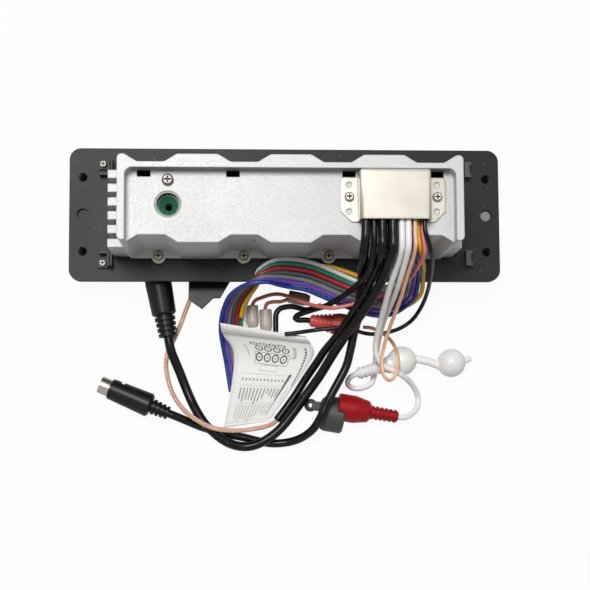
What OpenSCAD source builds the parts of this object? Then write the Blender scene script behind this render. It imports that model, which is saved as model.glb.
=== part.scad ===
// Flush-mount marine stereo lying face down, with its wiring harness spread on the table.
// X runs along the flange, Y up the face, Z from the table to the rear of the unit.

/* [Flange] */
// Length of the mounting flange
flange_w = 226; // [220:1:250]
// Height of the mounting flange
flange_h = 70; // [68:1:80]
// Thickness of the mounting flange
flange_t = 3.5; // [3:0.5:5]
// Radius of the flange corners
flange_corner = 6; // [2:1:10]
// Mounting holes, in from the ends of the flange
hole_inset_x = 7; // [6:0.5:8]
// Mounting holes, in from the long edges of the flange
hole_inset_y = 15.5; // [12:0.5:24]
// Radius of a mounting hole
hole_r = 2.3; // [1.6:0.1:2.6]
// Radius of the blind dimples between the holes
dimple_r = 3; // [2:0.5:4]
// Depth of the blind dimples
dimple_depth = 1.6; // [0.8:0.2:2.2]

/* [Fascia] */
// Length of the front shell
fascia_w = 198; // [196:1:204]
// Height of the front shell
fascia_h = 58; // [56:1:60]
// Depth of the front shell, table to flange
fascia_d = 16.5; // [16.5:0.5:22]
// Wall of the front shell
fascia_wall = 2; // [1.5:0.25:2.5]
// How far the face sits inside its border
face_recess = 1.2; // [1:0.1:1.6]
// Width of the border round the face
border_w = 3; // [2:0.5:4]

/* [Controls] */
// Radius of the volume knob
knob_r = 13; // [10:0.5:14]
// Finger room round the knob
well_gap = 6; // [4:0.5:7]
// Depth of the knob's well
well_depth = 7; // [6:0.5:7]
// Place of the knob along the face
knob_x = 70; // [66:1:72]
// Radius of the encoder shaft
shaft_r = 3; // [2:0.25:3]
// Push travel of the knob
push_travel = 0.5; // [0.3:0.1:0.5]
// Width of a key
key_w = 12; // [8:0.5:12]
// Height of a key
key_h = 10; // [6:0.5:12]
// Key spacing along the face
key_pitch_x = 15; // [15:0.5:16]
// Key spacing up the face
key_pitch_y = 20; // [18:1:22]
// Press travel of a key
key_travel = 0.6; // [0.3:0.1:0.6]
// Width of the display window
display_w = 84; // [60:1:84]
// Height of the display window
display_h = 28; // [20:1:32]

/* [Casting] */
// Width of the rear casting
casting_w = 164; // [162:1:166]
// Height of the rear casting, peak to peak
casting_h = 40.8; // [40.8:0.2:42]
// Depth of the rear casting, seal to rim
casting_d = 51; // [48:1:60]
// Casting centre below the flange centre
casting_drop = 3.1; // [2.8:0.1:3.4]
// Wall of the casting
casting_wall = 3; // [2:0.25:3.5]
// Spacing of the valleys in the long sides
wave_pitch = 44.2; // [43:0.2:45]
// Depth of a valley
wave_depth = 3.7; // [2.5:0.1:4]
// Flat at the bottom of a valley
wave_flat = 13; // [10:0.5:14]
// Run of a valley's slope
wave_slope = 6; // [5:0.5:7]
// Rounding of the valley corners
wave_round = 3; // [1:0.5:4]
// Depth of the rear recess
recess_d = 6.5; // [5:0.5:8]
// Rim at the sides of the recess
rim_side = 3.5; // [3:0.25:4]
// Rim above the recess
rim_top = 6.3; // [5.5:0.1:6.5]
// Cooling fins on each end
fin_count = 6; // [3:1:6]
// Thickness of a fin
fin_t = 4.1; // [2:0.1:4.5]
// Spacing of the fins
fin_pitch = 6.9; // [6:0.1:7]
// Reach of the fins from the casting
fin_reach = 7.5; // [4:0.5:7.5]
// Height of the fins
fin_height = 26; // [16:1:30]
// Thickness of the seal under the casting
seal_t = 1; // [0.5:0.25:2]

/* [Harness cover] */
// Width of the raised box
cover_w = 34; // [34:0.5:36]
// Length of the raised box
cover_l = 24.2; // [22:0.2:24.2]
// Height of the raised box
cover_h = 8.6; // [8.6:0.2:10]
// Thickness of the cover's sheet
sheet_t = 0.8; // [0.5:0.1:1]
// Reach of the cover's side flanges
cover_ear = 8.3; // [7:0.1:9]
// Place of the cover along the unit
cover_x = 49.2; // [48:0.2:50]

/* [Cords] */
// Diameter of the black round cables
cable_d = 4.4; // [3.8:0.1:4.4]
// Diameter of the thicker cable to the in-line socket
socket_cable_d = 5; // [4.4:0.1:5]
// Diameter of the black and white leads
lead_d = 3; // [2.4:0.1:3]
// Diameter of the single wires
wire_d = 2.2; // [1.6:0.1:2.2]
// Diameter of the pink wire
pink_d = 2; // [1.6:0.1:2]
// Diameter of the braided aerial lead
braid_d = 2.6; // [2:0.1:2.6]
// Diameter of the copper wire
copper_d = 2; // [1.6:0.1:2]

/* [Connectors] */
// Radius of the in-line socket
socket_r = 7; // [6:0.1:7]
// Radius of the round plug
plug_r = 6.4; // [5.6:0.1:6.5]
// Radius of the white phono lead's barrel
phono_r = 5.2; // [4.8:0.1:5.4]
// Radius of the red phono lead's barrel
red_r = 7.3; // [6.6:0.1:7.3]
// Radius of a phono lead's ribbed tail
tail_r = 3.5; // [3.2:0.1:3.8]
// Radius of a rubber dust cap
cap_r = 7.8; // [7:0.1:7.8]

/* [Hidden] */
$fn = 48;

// Clearances shared by the fits
slip = 0.3;
fit = 0.1;
cut = 1;

// Levels above the table
z_flange = fascia_d;
z_rear = z_flange + flange_t;
z_casting = z_rear + seal_t;
z_rim = z_casting + casting_d;
z_floor = z_rim - recess_d;
z_ceiling = z_floor - casting_wall;
z_face = face_recess;
z_inside = z_face + fascia_wall;
z_well = z_face + well_depth;

// Casting edges and the cavity behind its floor
casting_top = casting_h / 2 - casting_drop;
casting_bottom = -casting_h / 2 - casting_drop;
cavity_w = casting_w - 2 * rim_side - 2 * cut;
cavity_top = casting_top - wave_depth - casting_wall;
cavity_bottom = casting_bottom + wave_depth + casting_wall;
valleys = [for (i = [-1.5:1:1.5]) i * wave_pitch];
right_fin_share = 0.6;
ear_t = 3;
ear_r = 3.7;
ear_screw_r = 1.5;
ear_head_r = 2.5;
ear_inset = wave_depth - ear_head_r - slip;

// Front board and what stands on it
board_t = 1.6;
front_screw_l = 7;
key_flange_t = 1.2;
mat_t = 1.2;
key_stem = 5.9;
z_mat = z_inside + key_flange_t + key_stem + key_travel + fit;
z_board = z_mat + mat_t;
post_r = 3;
front_post = [fascia_w / 2 - 11, fascia_h / 2 - 7];
key_x = -display_w / 2 - key_pitch_x / 2 - 5.5;
key_overlap = 1;
encoder_w = 14;
bush_r = shaft_r + 1.2;
plunger_r = 4;
plunger_t = 1;

// Main board inside the casting
main_z = z_rear + 14;
main_top = main_z + board_t;
main_post = [cavity_w / 2 - 5, cavity_top - 4, cavity_bottom + 4];
board_screw_r = 1.2;
chip = [24, 4.5, 19];
clamp_bar = [42, 1.2, 6];
clamp_z = main_top + 12;
clamp_screw_x = 17;
capacitor_at = [-38, -27, 28];
capacitor_r = 4.5;
capacitor_h = 20;
capacitor_inset = 8;
can = [18, 14, 8];
can_inset = [11, 5];
ribbon_w = 20;
ribbon_t = 0.4;
ribbon_at = [-4, cavity_top - 3];

// Aerial socket and the screw above it
aerial = [-58.5, -5.2];
aerial_r = 6.4;
aerial_depth = 18;
panel_screw_at = [-58.6, 6.4];

// Harness cover
cover_top = cavity_top - 0.7;
cover_bottom = cover_top + 0.6 - cover_l;
cover_screw_x = cover_w / 2 + cover_ear / 2;
harness_hole = [26, 14];
z_top_row = z_floor + wire_d + socket_cable_d / 2 + 3 * fit;
z_low_row = z_floor + wire_d / 2 + fit;

// Small helpers
function unit(v) = v / norm(v);

// Points of an arc that rounds the corner b between a and c
function corner_arc(a, b, c, radius, steps) =
    let (
        u = unit(a - b),
        v = unit(c - b),
        half = acos(u * v) / 2,
        centre = b + unit(u + v) * radius / sin(half),
        from = b + u * radius / tan(half) - centre,
        to = b + v * radius / tan(half) - centre)
    [for (i = [0:steps]) centre + unit(from * (1 - i / steps) + to * i / steps) * radius];

function rounded(points, radius, steps = 5) =
    let (n = len(points))
    [for (i = [0:n - 1])
        each corner_arc(points[(i + n - 1) % n], points[i], points[(i + 1) % n],
            is_list(radius) ? radius[i] : radius, steps)];

function box_points(w, h) = [[w / 2, -h / 2], [w / 2, h / 2], [-w / 2, h / 2], [-w / 2, -h / 2]];

// One smooth run through the points of a route, a ring about every three diameters
function spline(a, b, c, d, t) =
    0.5 * (2 * b + (c - a) * t + (2 * a - 5 * b + 4 * c - d) * t * t + (3 * b - a - 3 * c + d) * t * t * t);
function run(p, step) =
    let (last = len(p) - 1)
    [for (i = [0:last - 1])
        let (
            before = i == 0 ? 2 * p[0] - p[1] : p[i - 1],
            after = i == last - 1 ? 2 * p[last] - p[last - 1] : p[i + 2],
            n = max(1, round(norm(p[i + 1] - p[i]) / step)))
        each [for (k = [0:n - 1]) spline(before, p[i], p[i + 1], after, k / n)],
     p[last]];

// A round cord swept along a route, closed at both ends
module tube(route, d, sides = 8, pitch = 2.6) {
    p = run(route, d * pitch);
    n = len(p);
    rings = [for (i = [0:n - 1])
        let (
            t = unit(p[min(i + 1, n - 1)] - p[max(i - 1, 0)]),
            side = unit(cross(t, abs(t[2]) > 0.95 ? [1, 0, 0] : [0, 0, 1])),
            top = cross(side, t))
        each [for (k = [0:sides - 1])
            p[i] + (side * cos(360 * k / sides) + top * sin(360 * k / sides)) * d / 2]];
    walls = [for (i = [0:n - 2], k = [0:sides - 1])
        let (a = i * sides + k, b = i * sides + (k + 1) % sides)
        each [[a, b, a + sides], [b, b + sides, a + sides]]];
    caps = [for (k = [1:sides - 2])
        each [[0, k + 1, k], [(n - 1) * sides, (n - 1) * sides + k, (n - 1) * sides + k + 1]]];
    polyhedron([each rings], [each walls, each caps]);
}

// Lies a turned piece along the table, its axis heading at an angle from +X
module lying(at, heading) translate(at) rotate([0, 90, heading]) children();

// A solid of revolution from its half outline
module turned(points) rotate_extrude() polygon(points);

// A strain relief that tapers in rings, from a start along the axis
module ribbed_tail(start, length, r_start, r_end, rings) {
    step = length / rings;
    for (i = [0:rings - 1]) {
        r = r_start + (r_end - r_start) * i / rings;
        translate([0, 0, start + i * step]) {
            cylinder(r = r * 0.8, h = step);
            translate([0, 0, step * 0.4]) cylinder(r = r, h = step * 0.6);
        }
    }
}

// A pan-head screw with a cross recess, its seat at z = 0
module pan_screw(head_r, head_h, shank_r, length) {
    difference() {
        union() {
            cylinder(r = head_r, h = head_h * 0.55);
            translate([0, 0, head_h * 0.55]) cylinder(r1 = head_r, r2 = head_r * 0.7, h = head_h * 0.45);
        }
        for (turn = [0, 90])
            rotate(turn) translate([-head_r * 0.6, -head_r * 0.13, head_h * 0.5])
                cube([head_r * 1.2, head_r * 0.26, head_h]);
    }
    translate([0, 0, -length]) cylinder(r = shank_r, h = length);
}

// Flange
module mounting_flange() color("#2b2b2c") difference() {
    translate([0, 0, z_flange]) linear_extrude(flange_t)
        polygon(rounded(box_points(flange_w, flange_h), flange_corner, 8));
    for (sx = [-1, 1], sy = [-1, 1])
        translate([sx * (flange_w / 2 - hole_inset_x), sy * (flange_h / 2 - hole_inset_y), z_flange - cut])
            cylinder(r = hole_r, h = flange_t + 2 * cut);
    for (sx = [-1, 1])
        translate([sx * (flange_w / 2 - hole_inset_x), 0, z_rear - dimple_depth])
            cylinder(r = dimple_r, h = dimple_depth + cut);
    translate([ribbon_at[0] - slip, ribbon_at[1] - slip, z_flange - cut])
        cube([ribbon_w + 2 * slip, ribbon_t + 2 * slip, flange_t + 2 * cut]);
    for (x = valleys, y = ear_ys())
        translate([x, y, z_flange - cut]) cylinder(r = ear_screw_r + fit, h = flange_t + 2 * cut);
    for (sy = [-1, 1])
        translate([clip_screw_x, sy * clip_screw_y, z_flange - cut])
            cylinder(r = clip_screw_r + fit, h = flange_t + 2 * cut);
}

function ear_ys() = [casting_bottom + ear_inset, casting_top - ear_inset];

// Clips at the left end are screwed on, hooks at the right end snap over
clip_screw_x = -fascia_w / 2 + 3.8;
clip_screw_y = fascia_h / 2 - 3;
clip_screw_r = 1.1;
clip_h = 5;
clip_base = 1.5;
module left_clips() color("#1d1d1e")
    for (sy = [0, 1]) mirror([0, sy, 0]) translate([0, 0, z_rear]) {
        difference() {
            translate([clip_screw_x - 2.6, clip_screw_y - 2.6, 0]) cube([5.2, 5.2, clip_base]);
            translate([clip_screw_x, clip_screw_y, -cut])
                cylinder(r = clip_screw_r + fit, h = clip_base + 2 * cut);
        }
        translate([clip_screw_x + 2.5, clip_screw_y - 6, 0]) cube([1.2, 8, clip_h]);
        translate([clip_screw_x + 4, clip_screw_y - 6, 0]) cube([1.2, 8, clip_h]);
        translate([clip_screw_x - 1.8, clip_screw_y - 6.2, 0]) cube([7, 1.6, clip_h - 1]);
    }

hook_x = fascia_w / 2 - 5;
hook_y = fascia_h / 2 - 5.6;
module right_hooks() color("#242425")
    for (sy = [0, 1]) mirror([0, sy, 0]) translate([hook_x, hook_y - 4, z_rear]) {
        cube([1.4, 8, clip_h]);
        cube([3.5, 1.6, clip_h]);
        translate([0, 6.4, 0]) cube([3.5, 1.6, clip_h]);
        translate([0, 0, clip_h - 1.2]) cube([2.6, 8, 1.2]);
    }

module fascia_screws() color("#d9d5ca")
    for (sy = [-1, 1])
        translate([clip_screw_x, sy * clip_screw_y, z_rear + clip_base])
            pan_screw(2, 1.6, clip_screw_r, clip_base + flange_t + fascia_wall);

// Front shell, with its wells and openings
module fascia() color("#1f1f20") {
    inner_w = fascia_w - 2 * fascia_wall;
    inner_h = fascia_h - 2 * fascia_wall;
    difference() {
        union() {
            difference() {
                linear_extrude(fascia_d) polygon(rounded(box_points(fascia_w, fascia_h), 5, 6));
                translate([0, 0, -cut]) linear_extrude(face_recess + cut)
                    polygon(rounded(box_points(fascia_w - 2 * border_w, fascia_h - 2 * border_w), 3, 5));
                translate([0, 0, z_inside]) linear_extrude(fascia_d)
                    polygon(rounded(box_points(inner_w, inner_h), 3, 5));
            }
            translate([knob_x, 0, z_face])
                cylinder(r = knob_r + well_gap + fascia_wall, h = well_depth + fascia_wall);
            for (sx = [-1, 1], sy = [-1, 1])
                translate([sx * front_post[0], sy * front_post[1], z_inside])
                    cylinder(r = post_r, h = z_board - z_inside);
            for (sy = [-1, 1])
                translate([clip_screw_x - 2, sy * clip_screw_y - 2, z_inside])
                    cube([4, 4, fascia_d - z_inside]);
        }
        translate([knob_x, 0, z_face - cut]) cylinder(r = knob_r + well_gap, h = well_depth + cut);
        translate([knob_x, 0, z_well - cut]) cylinder(r = bush_r + fit, h = fascia_wall + 2 * cut);
        translate([-display_w / 2, -display_h / 2, z_face - cut])
            cube([display_w, display_h, fascia_wall + 2 * cut]);
        for (c = [0:2], r = [-0.5, 0.5])
            translate([key_x - c * key_pitch_x - key_w / 2 - slip, r * key_pitch_y - key_h / 2 - slip,
                z_face - cut])
                cube([key_w + 2 * slip, key_h + 2 * slip, fascia_wall + 2 * cut]);
        for (sx = [-1, 1], sy = [-1, 1])
            translate([sx * front_post[0], sy * front_post[1], z_inside + cut])
                cylinder(r = board_screw_r + fit, h = fascia_d);
        for (sy = [-1, 1])
            translate([clip_screw_x, sy * clip_screw_y, fascia_d - fascia_wall - cut])
                cylinder(r = clip_screw_r + fit, h = fascia_wall + 2 * cut);
    }
}

window_t = 1;
window_lap = 1.5;
module display_window() color("#20262c", 0.6) {
    translate([-display_w / 2 + fit, -display_h / 2 + fit, z_face + 0.4])
        cube([display_w - 2 * fit, display_h - 2 * fit, fascia_wall - 0.4]);
    translate([-display_w / 2 - window_lap, -display_h / 2 - window_lap, z_inside])
        cube([display_w + 2 * window_lap, display_h + 2 * window_lap, window_t]);
}

module display_module() color("#3c5a4a")
    translate([-display_w / 2, -display_h / 2, z_inside + window_t])
        cube([display_w, display_h, z_board - z_inside - window_t]);

module front_board() color("#1e5c33") difference() {
    translate([-front_post[0] - post_r, -front_post[1] - post_r, z_board])
        cube([2 * (front_post[0] + post_r), 2 * (front_post[1] + post_r), board_t]);
    for (sx = [-1, 1], sy = [-1, 1])
        translate([sx * front_post[0], sy * front_post[1], z_board - cut])
            cylinder(r = board_screw_r + fit, h = board_t + 2 * cut);
    translate([knob_x - encoder_w / 2 - slip, -encoder_w / 2 - slip, z_board - cut])
        cube([encoder_w + 2 * slip, encoder_w + 2 * slip, board_t + 2 * cut]);
    for (sy = [-1, 1])
        translate([clip_screw_x - 3, sy * clip_screw_y - 3, z_board - cut]) cube([6, 6, board_t + 2 * cut]);
}

module front_board_screws() color("#c8c4b8")
    for (sx = [-1, 1], sy = [-1, 1])
        translate([sx * front_post[0], sy * front_post[1], z_board + board_t])
            pan_screw(2.2, 1.4, board_screw_r, front_screw_l);

// Keys press a silicone mat that lies on the board
module keypad_mat() color("#55585a")
    translate([key_x - 2 * key_pitch_x - key_w / 2, -key_pitch_y / 2 - key_h / 2, z_mat])
        cube([2 * key_pitch_x + key_w, key_pitch_y + key_h, mat_t]);

key_proud = 0.5;
module key(column, row) color("#3a3b3d") {
    x = key_x - column * key_pitch_x;
    y = row * key_pitch_y;
    translate([x, y, z_face - key_proud]) linear_extrude(fascia_wall + key_proud)
        polygon(rounded(box_points(key_w, key_h), 1.5, 4));
    translate([x - key_w / 2 - key_overlap, y - key_h / 2 - key_overlap, z_inside])
        cube([key_w + 2 * key_overlap, key_h + 2 * key_overlap, key_flange_t]);
    translate([x, y, z_inside + key_flange_t]) cylinder(r = 2, h = key_stem);
}
module key_power() key(0, 0.5);
module key_mute() key(1, 0.5);
module key_source() key(2, 0.5);
module key_back() key(0, -0.5);
module key_play() key(1, -0.5);
module key_next() key(2, -0.5);

// Volume knob on the shaft of a push encoder
knob_lip = 0.6;
knob_lift = 0.7;
knob_top = z_well - knob_lift;
grip_count = 24;
encoder_h = 4.4;
z_cavity = z_well + fascia_wall + 1.2;
module volume_knob() color("#2f3031") difference() {
    translate([knob_x, 0, knob_lip]) union() {
        cylinder(r1 = knob_r - 1, r2 = knob_r, h = 1);
        translate([0, 0, 1]) cylinder(r = knob_r, h = knob_top - knob_lip - 1);
    }
    for (i = [0:grip_count - 1])
        translate([knob_x, 0, 0]) rotate(360 * i / grip_count) translate([knob_r, 0, knob_lip + 1.4])
            cylinder(r = 0.6, h = z_well);
    translate([knob_x, 0, knob_lip + 2.5]) cylinder(r = shaft_r, h = z_well);
    translate([knob_x + knob_r - 4, -0.6, -cut]) cube([5, 1.2, knob_lip + cut + 0.5]);
}
module encoder_shaft() color("#c9c9c6")
    translate([knob_x, 0, knob_lip + 2.5]) cylinder(r = shaft_r, h = z_cavity - knob_lip - 2.5);
module encoder_plunger() color("#b8a070")
    translate([knob_x, 0, z_cavity]) cylinder(r = plunger_r, h = plunger_t);
module encoder_body() color("#6f7478") difference() {
    union() {
        translate([knob_x - encoder_w / 2, -encoder_w / 2, z_well + fascia_wall])
            cube([encoder_w, encoder_w, encoder_h]);
        translate([knob_x, 0, z_well]) cylinder(r = bush_r, h = fascia_wall);
    }
    translate([knob_x, 0, z_well - cut]) cylinder(r = shaft_r + fit, h = z_cavity - z_well + 2 * cut);
    translate([knob_x, 0, z_cavity - fit])
        cylinder(r = plunger_r + fit, h = plunger_t + push_travel + 2 * fit);
}

// Rear casting, an outline with valleys along both long sides
function wave_row(y, depth, order) = [for (i = order)
    let (x = valleys[i], s = order[0] == 0 ? 1 : -1)
    each [[x - s * (wave_flat / 2 + wave_slope), y], [x - s * wave_flat / 2, y + depth],
          [x + s * wave_flat / 2, y + depth], [x + s * (wave_flat / 2 + wave_slope), y]]];
casting_outline = [
    [-casting_w / 2, casting_bottom], each wave_row(casting_bottom, wave_depth, [0, 1, 2, 3]),
    [casting_w / 2, casting_bottom], [casting_w / 2, casting_top],
    each wave_row(casting_top, -wave_depth, [3, 2, 1, 0]), [-casting_w / 2, casting_top]];
end_run = casting_w / 2 - 1.5 * wave_pitch - wave_flat / 2 - wave_slope;
end_round = max(0.4, end_run - 0.4 * wave_round);
side_rounds = [end_round, each [for (i = [1:4 * len(valleys)]) wave_round], end_round];
casting_rounds = concat(side_rounds, side_rounds);
recess_w = casting_w - 2 * rim_side;
recess_top = casting_top - rim_top;
slot_w = 6.4;
slot_h = 3;
slot_xs = [-70, -27.5, 28.2, 70.6];
module casting() color("#dedede") {
    difference() {
        union() {
            translate([0, 0, z_casting])
                linear_extrude(casting_d) polygon(rounded(casting_outline, casting_rounds));
            for (sx = [0, 1], i = [0:fin_count - 1])
                mirror([sx, 0, 0])
                    translate([casting_w / 2 - cut,
                        (i - (fin_count - 1) / 2) * fin_pitch - fin_t / 2 - casting_drop, z_casting])
                        cube([(sx == 1 ? fin_reach : fin_reach * right_fin_share) + cut, fin_t, fin_height]);
            for (x = valleys, y = ear_ys()) translate([x, y, z_casting]) {
                cylinder(r = ear_r, h = ear_t);
                translate([-wave_flat / 2 - wave_slope,
                    y < 0 ? -ear_inset : ear_inset - wave_depth - cut, 0])
                    cube([wave_flat + 2 * wave_slope, wave_depth + cut, ear_t]);
            }
        }
        translate([0, 0, z_floor]) linear_extrude(recess_d + cut)
            polygon([[-recess_w / 2, casting_bottom - ear_r], [recess_w / 2, casting_bottom - ear_r],
                each corner_arc([recess_w / 2, 0], [recess_w / 2, recess_top], [0, recess_top], 3.5, 5),
                each corner_arc([0, recess_top], [-recess_w / 2, recess_top], [-recess_w / 2, 0], 3.5, 5)]);
        translate([-cavity_w / 2, cavity_bottom, z_casting - cut])
            cube([cavity_w, cavity_top - cavity_bottom, z_ceiling - z_casting + cut]);
        for (x = valleys, y = ear_ys())
            translate([x, y, z_casting - cut]) cylinder(r = ear_screw_r + fit, h = ear_t + 2 * cut);
        for (x = slot_xs)
            translate([x - slot_w / 2, recess_top - slot_h, z_ceiling - cut])
                cube([slot_w, slot_h, casting_wall + 2 * cut]);
        translate([aerial[0], aerial[1], z_ceiling - cut])
            cylinder(r = aerial_r, h = casting_wall + 2 * cut);
        translate([panel_screw_at[0], panel_screw_at[1], z_ceiling - cut])
            cylinder(r = ear_screw_r + fit, h = casting_wall + 2 * cut);
        translate([cover_x - harness_hole[0] / 2, cover_top - 4 - harness_hole[1], z_ceiling - cut])
            cube([harness_hole[0], harness_hole[1], casting_wall + 2 * cut]);
        for (s = [-1, 1])
            translate([cover_x + s * cover_screw_x, cover_screw_y, z_ceiling - cut])
                cylinder(r = ear_screw_r + fit, h = casting_wall + 2 * cut);
        for (s = [-1, 1])
            translate([s * clamp_screw_x, cavity_bottom + cut, clamp_z + clamp_bar[2] / 2])
                rotate([90, 0, 0])
                cylinder(r = board_screw_r + fit, h = 3 + cut);
    }
    for (sx = [-1, 1], y = [main_post[1], main_post[2]])
        translate([sx * main_post[0], y, main_top]) difference() {
            cylinder(r = post_r, h = z_ceiling - main_top);
            translate([0, 0, -cut]) cylinder(r = board_screw_r + fit, h = 8 + cut);
        }
}

module casting_seal() color("#151515") translate([0, 0, z_rear]) difference() {
    linear_extrude(seal_t) polygon(rounded(casting_outline, casting_rounds));
    translate([-cavity_w / 2, cavity_bottom, -cut])
        cube([cavity_w, cavity_top - cavity_bottom, seal_t + 2 * cut]);
    for (x = valleys, y = ear_ys()) translate([x, y, -cut]) cylinder(r = ear_r, h = seal_t + 2 * cut);
}

module ear_screws() color("#9a8763")
    for (x = valleys, y = ear_ys())
        translate([x, y, z_casting + ear_t])
            pan_screw(ear_head_r, 1.9, ear_screw_r, ear_t + seal_t + flange_t);

module panel_screw() color("#d8d3c6")
    translate([panel_screw_at[0], panel_screw_at[1], z_floor])
        pan_screw(2.8, 2, ear_screw_r, casting_wall + 3);

// Electronics inside the casting
module main_board() color("#1f5d36") difference() {
    translate([-cavity_w / 2 + slip, cavity_bottom + slip, main_z])
        cube([cavity_w - 2 * slip, cavity_top - cavity_bottom - 2 * slip, board_t]);
    for (sx = [-1, 1], y = [main_post[1], main_post[2]])
        translate([sx * main_post[0], y, main_z - cut])
            cylinder(r = board_screw_r + fit, h = board_t + 2 * cut);
}
module board_screws() color("#c8c4b8")
    for (sx = [-1, 1], y = [main_post[1], main_post[2]])
        translate([sx * main_post[0], y, main_z])
            rotate([180, 0, 0]) pan_screw(2.2, 1.4, board_screw_r, board_t + 6);
module amplifier_chip() color("#232323")
    translate([-chip[0] / 2, cavity_bottom, main_top]) cube(chip);
module chip_clamp() color("#b9bcbf") difference() {
    translate([-clamp_bar[0] / 2, cavity_bottom + chip[1], clamp_z]) cube(clamp_bar);
    for (s = [-1, 1])
        translate([s * clamp_screw_x, cavity_bottom, clamp_z + clamp_bar[2] / 2]) rotate([-90, 0, 0])
            cylinder(r = board_screw_r + fit, h = chip[1] + clamp_bar[1] + cut);
}
module clamp_screws() color("#c8c4b8")
    for (s = [-1, 1])
        translate([s * clamp_screw_x, cavity_bottom + chip[1] + clamp_bar[1], clamp_z + clamp_bar[2] / 2])
            rotate([-90, 0, 0]) pan_screw(2.4, 1.5, board_screw_r, chip[1] + clamp_bar[1] + 2);
module capacitors() color("#27323f")
    for (x = capacitor_at)
        translate([x, cavity_bottom + capacitor_inset, main_top]) cylinder(r = capacitor_r, h = capacitor_h);
module tuner_can() color("#c3c3bf")
    translate([aerial[0] - can_inset[0], cavity_bottom + can_inset[1], main_top]) cube(can);
module ribbon_cable() color("#e7e2d2")
    translate([ribbon_at[0], ribbon_at[1], z_board + board_t])
        cube([ribbon_w, ribbon_t, main_z - z_board - board_t]);

// Aerial socket, a metal sleeve round a green funnel with a centre contact
module aerial_shell() color("#b9b5a8")
    translate([aerial[0], aerial[1], z_floor - aerial_depth]) difference() {
    cylinder(r = aerial_r - fit, h = aerial_depth - 0.4);
    translate([0, 0, 1.5]) cylinder(r = aerial_r - 0.9, h = aerial_depth);
}
module aerial_insert() color("#1f6b4a")
    translate([aerial[0], aerial[1], z_floor - aerial_depth + 1.5]) difference() {
    cylinder(r = aerial_r - 0.9 - fit, h = aerial_depth - 5);
    translate([0, 0, aerial_depth - 9]) cylinder(r1 = 1.9, r2 = aerial_r - 1.7, h = 4.01);
    translate([0, 0, -cut]) cylinder(r = 1.9, h = aerial_depth);
}
module aerial_contact() color("#c9a24a")
    translate([aerial[0], aerial[1], z_floor - aerial_depth + 1.5]) difference() {
    cylinder(r = 1.9 - fit, h = aerial_depth - 11);
    translate([0, 0, cut]) cylinder(r = 1.2, h = aerial_depth);
}

// Sheet-metal cover over the opening that the harness comes out of
cover_screw_y = cover_top - 11.5;
cover_chamfer = 5.3;
module harness_cover() color("#d8d2c2") {
    ear_edge = cover_w / 2 + cover_ear;
    difference() {
        union() {
            translate([cover_x - cover_w / 2, cover_bottom, z_floor]) cube([cover_w, cover_l, cover_h]);
            translate([cover_x, 0, z_floor]) linear_extrude(sheet_t)
                polygon([[-ear_edge, cover_top - 2], [-ear_edge, cover_bottom + cover_chamfer],
                    [-ear_edge + cover_chamfer, cover_bottom], [ear_edge - cover_chamfer, cover_bottom],
                    [ear_edge, cover_bottom + cover_chamfer], [ear_edge, cover_top - 2]]);
        }
        translate([cover_x - cover_w / 2 + sheet_t, cover_bottom - cut, z_floor - cut])
            cube([cover_w - 2 * sheet_t, cover_l - sheet_t + cut, cover_h - sheet_t + cut]);
        for (s = [-1, 1]) {
            translate([cover_x + s * cover_screw_x, cover_screw_y, z_floor - cut])
                cylinder(r = ear_screw_r + fit, h = sheet_t + 2 * cut);
            for (dy = [-7, 6])
                translate([cover_x + s * cover_screw_x, cover_screw_y + dy, z_floor - cut])
                    cylinder(r = 1.4, h = sheet_t + 2 * cut);
        }
    }
}
module cover_screws() color("#d8d3c6")
    for (s = [-1, 1])
        translate([cover_x + s * cover_screw_x, cover_screw_y, z_floor + sheet_t])
            pan_screw(2.3, 1.7, ear_screw_r, sheet_t + casting_wall + 2);
module harness_grommet() color("#161616") {
    translate([cover_x - cover_w / 2 + sheet_t + fit, cover_bottom + 1.5, z_floor])
        cube([cover_w - 2 * sheet_t - 2 * fit, cover_l - sheet_t - 1.7, cover_h - sheet_t - fit]);
    translate([cover_x - harness_hole[0] / 2 + fit, cover_top - 4 - harness_hole[1] + fit, z_ceiling - 2])
        cube([harness_hole[0] - 2 * fit, harness_hole[1] - 2 * fit, casting_wall + 2]);
}

// Routes of the cords, from the grommet outwards, chosen by eye from the way they lie
grommet_y = cover_bottom + 3;
function leaves(x, z) = [[x, grommet_y, z], [x, cover_bottom - 4, z]];

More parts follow.
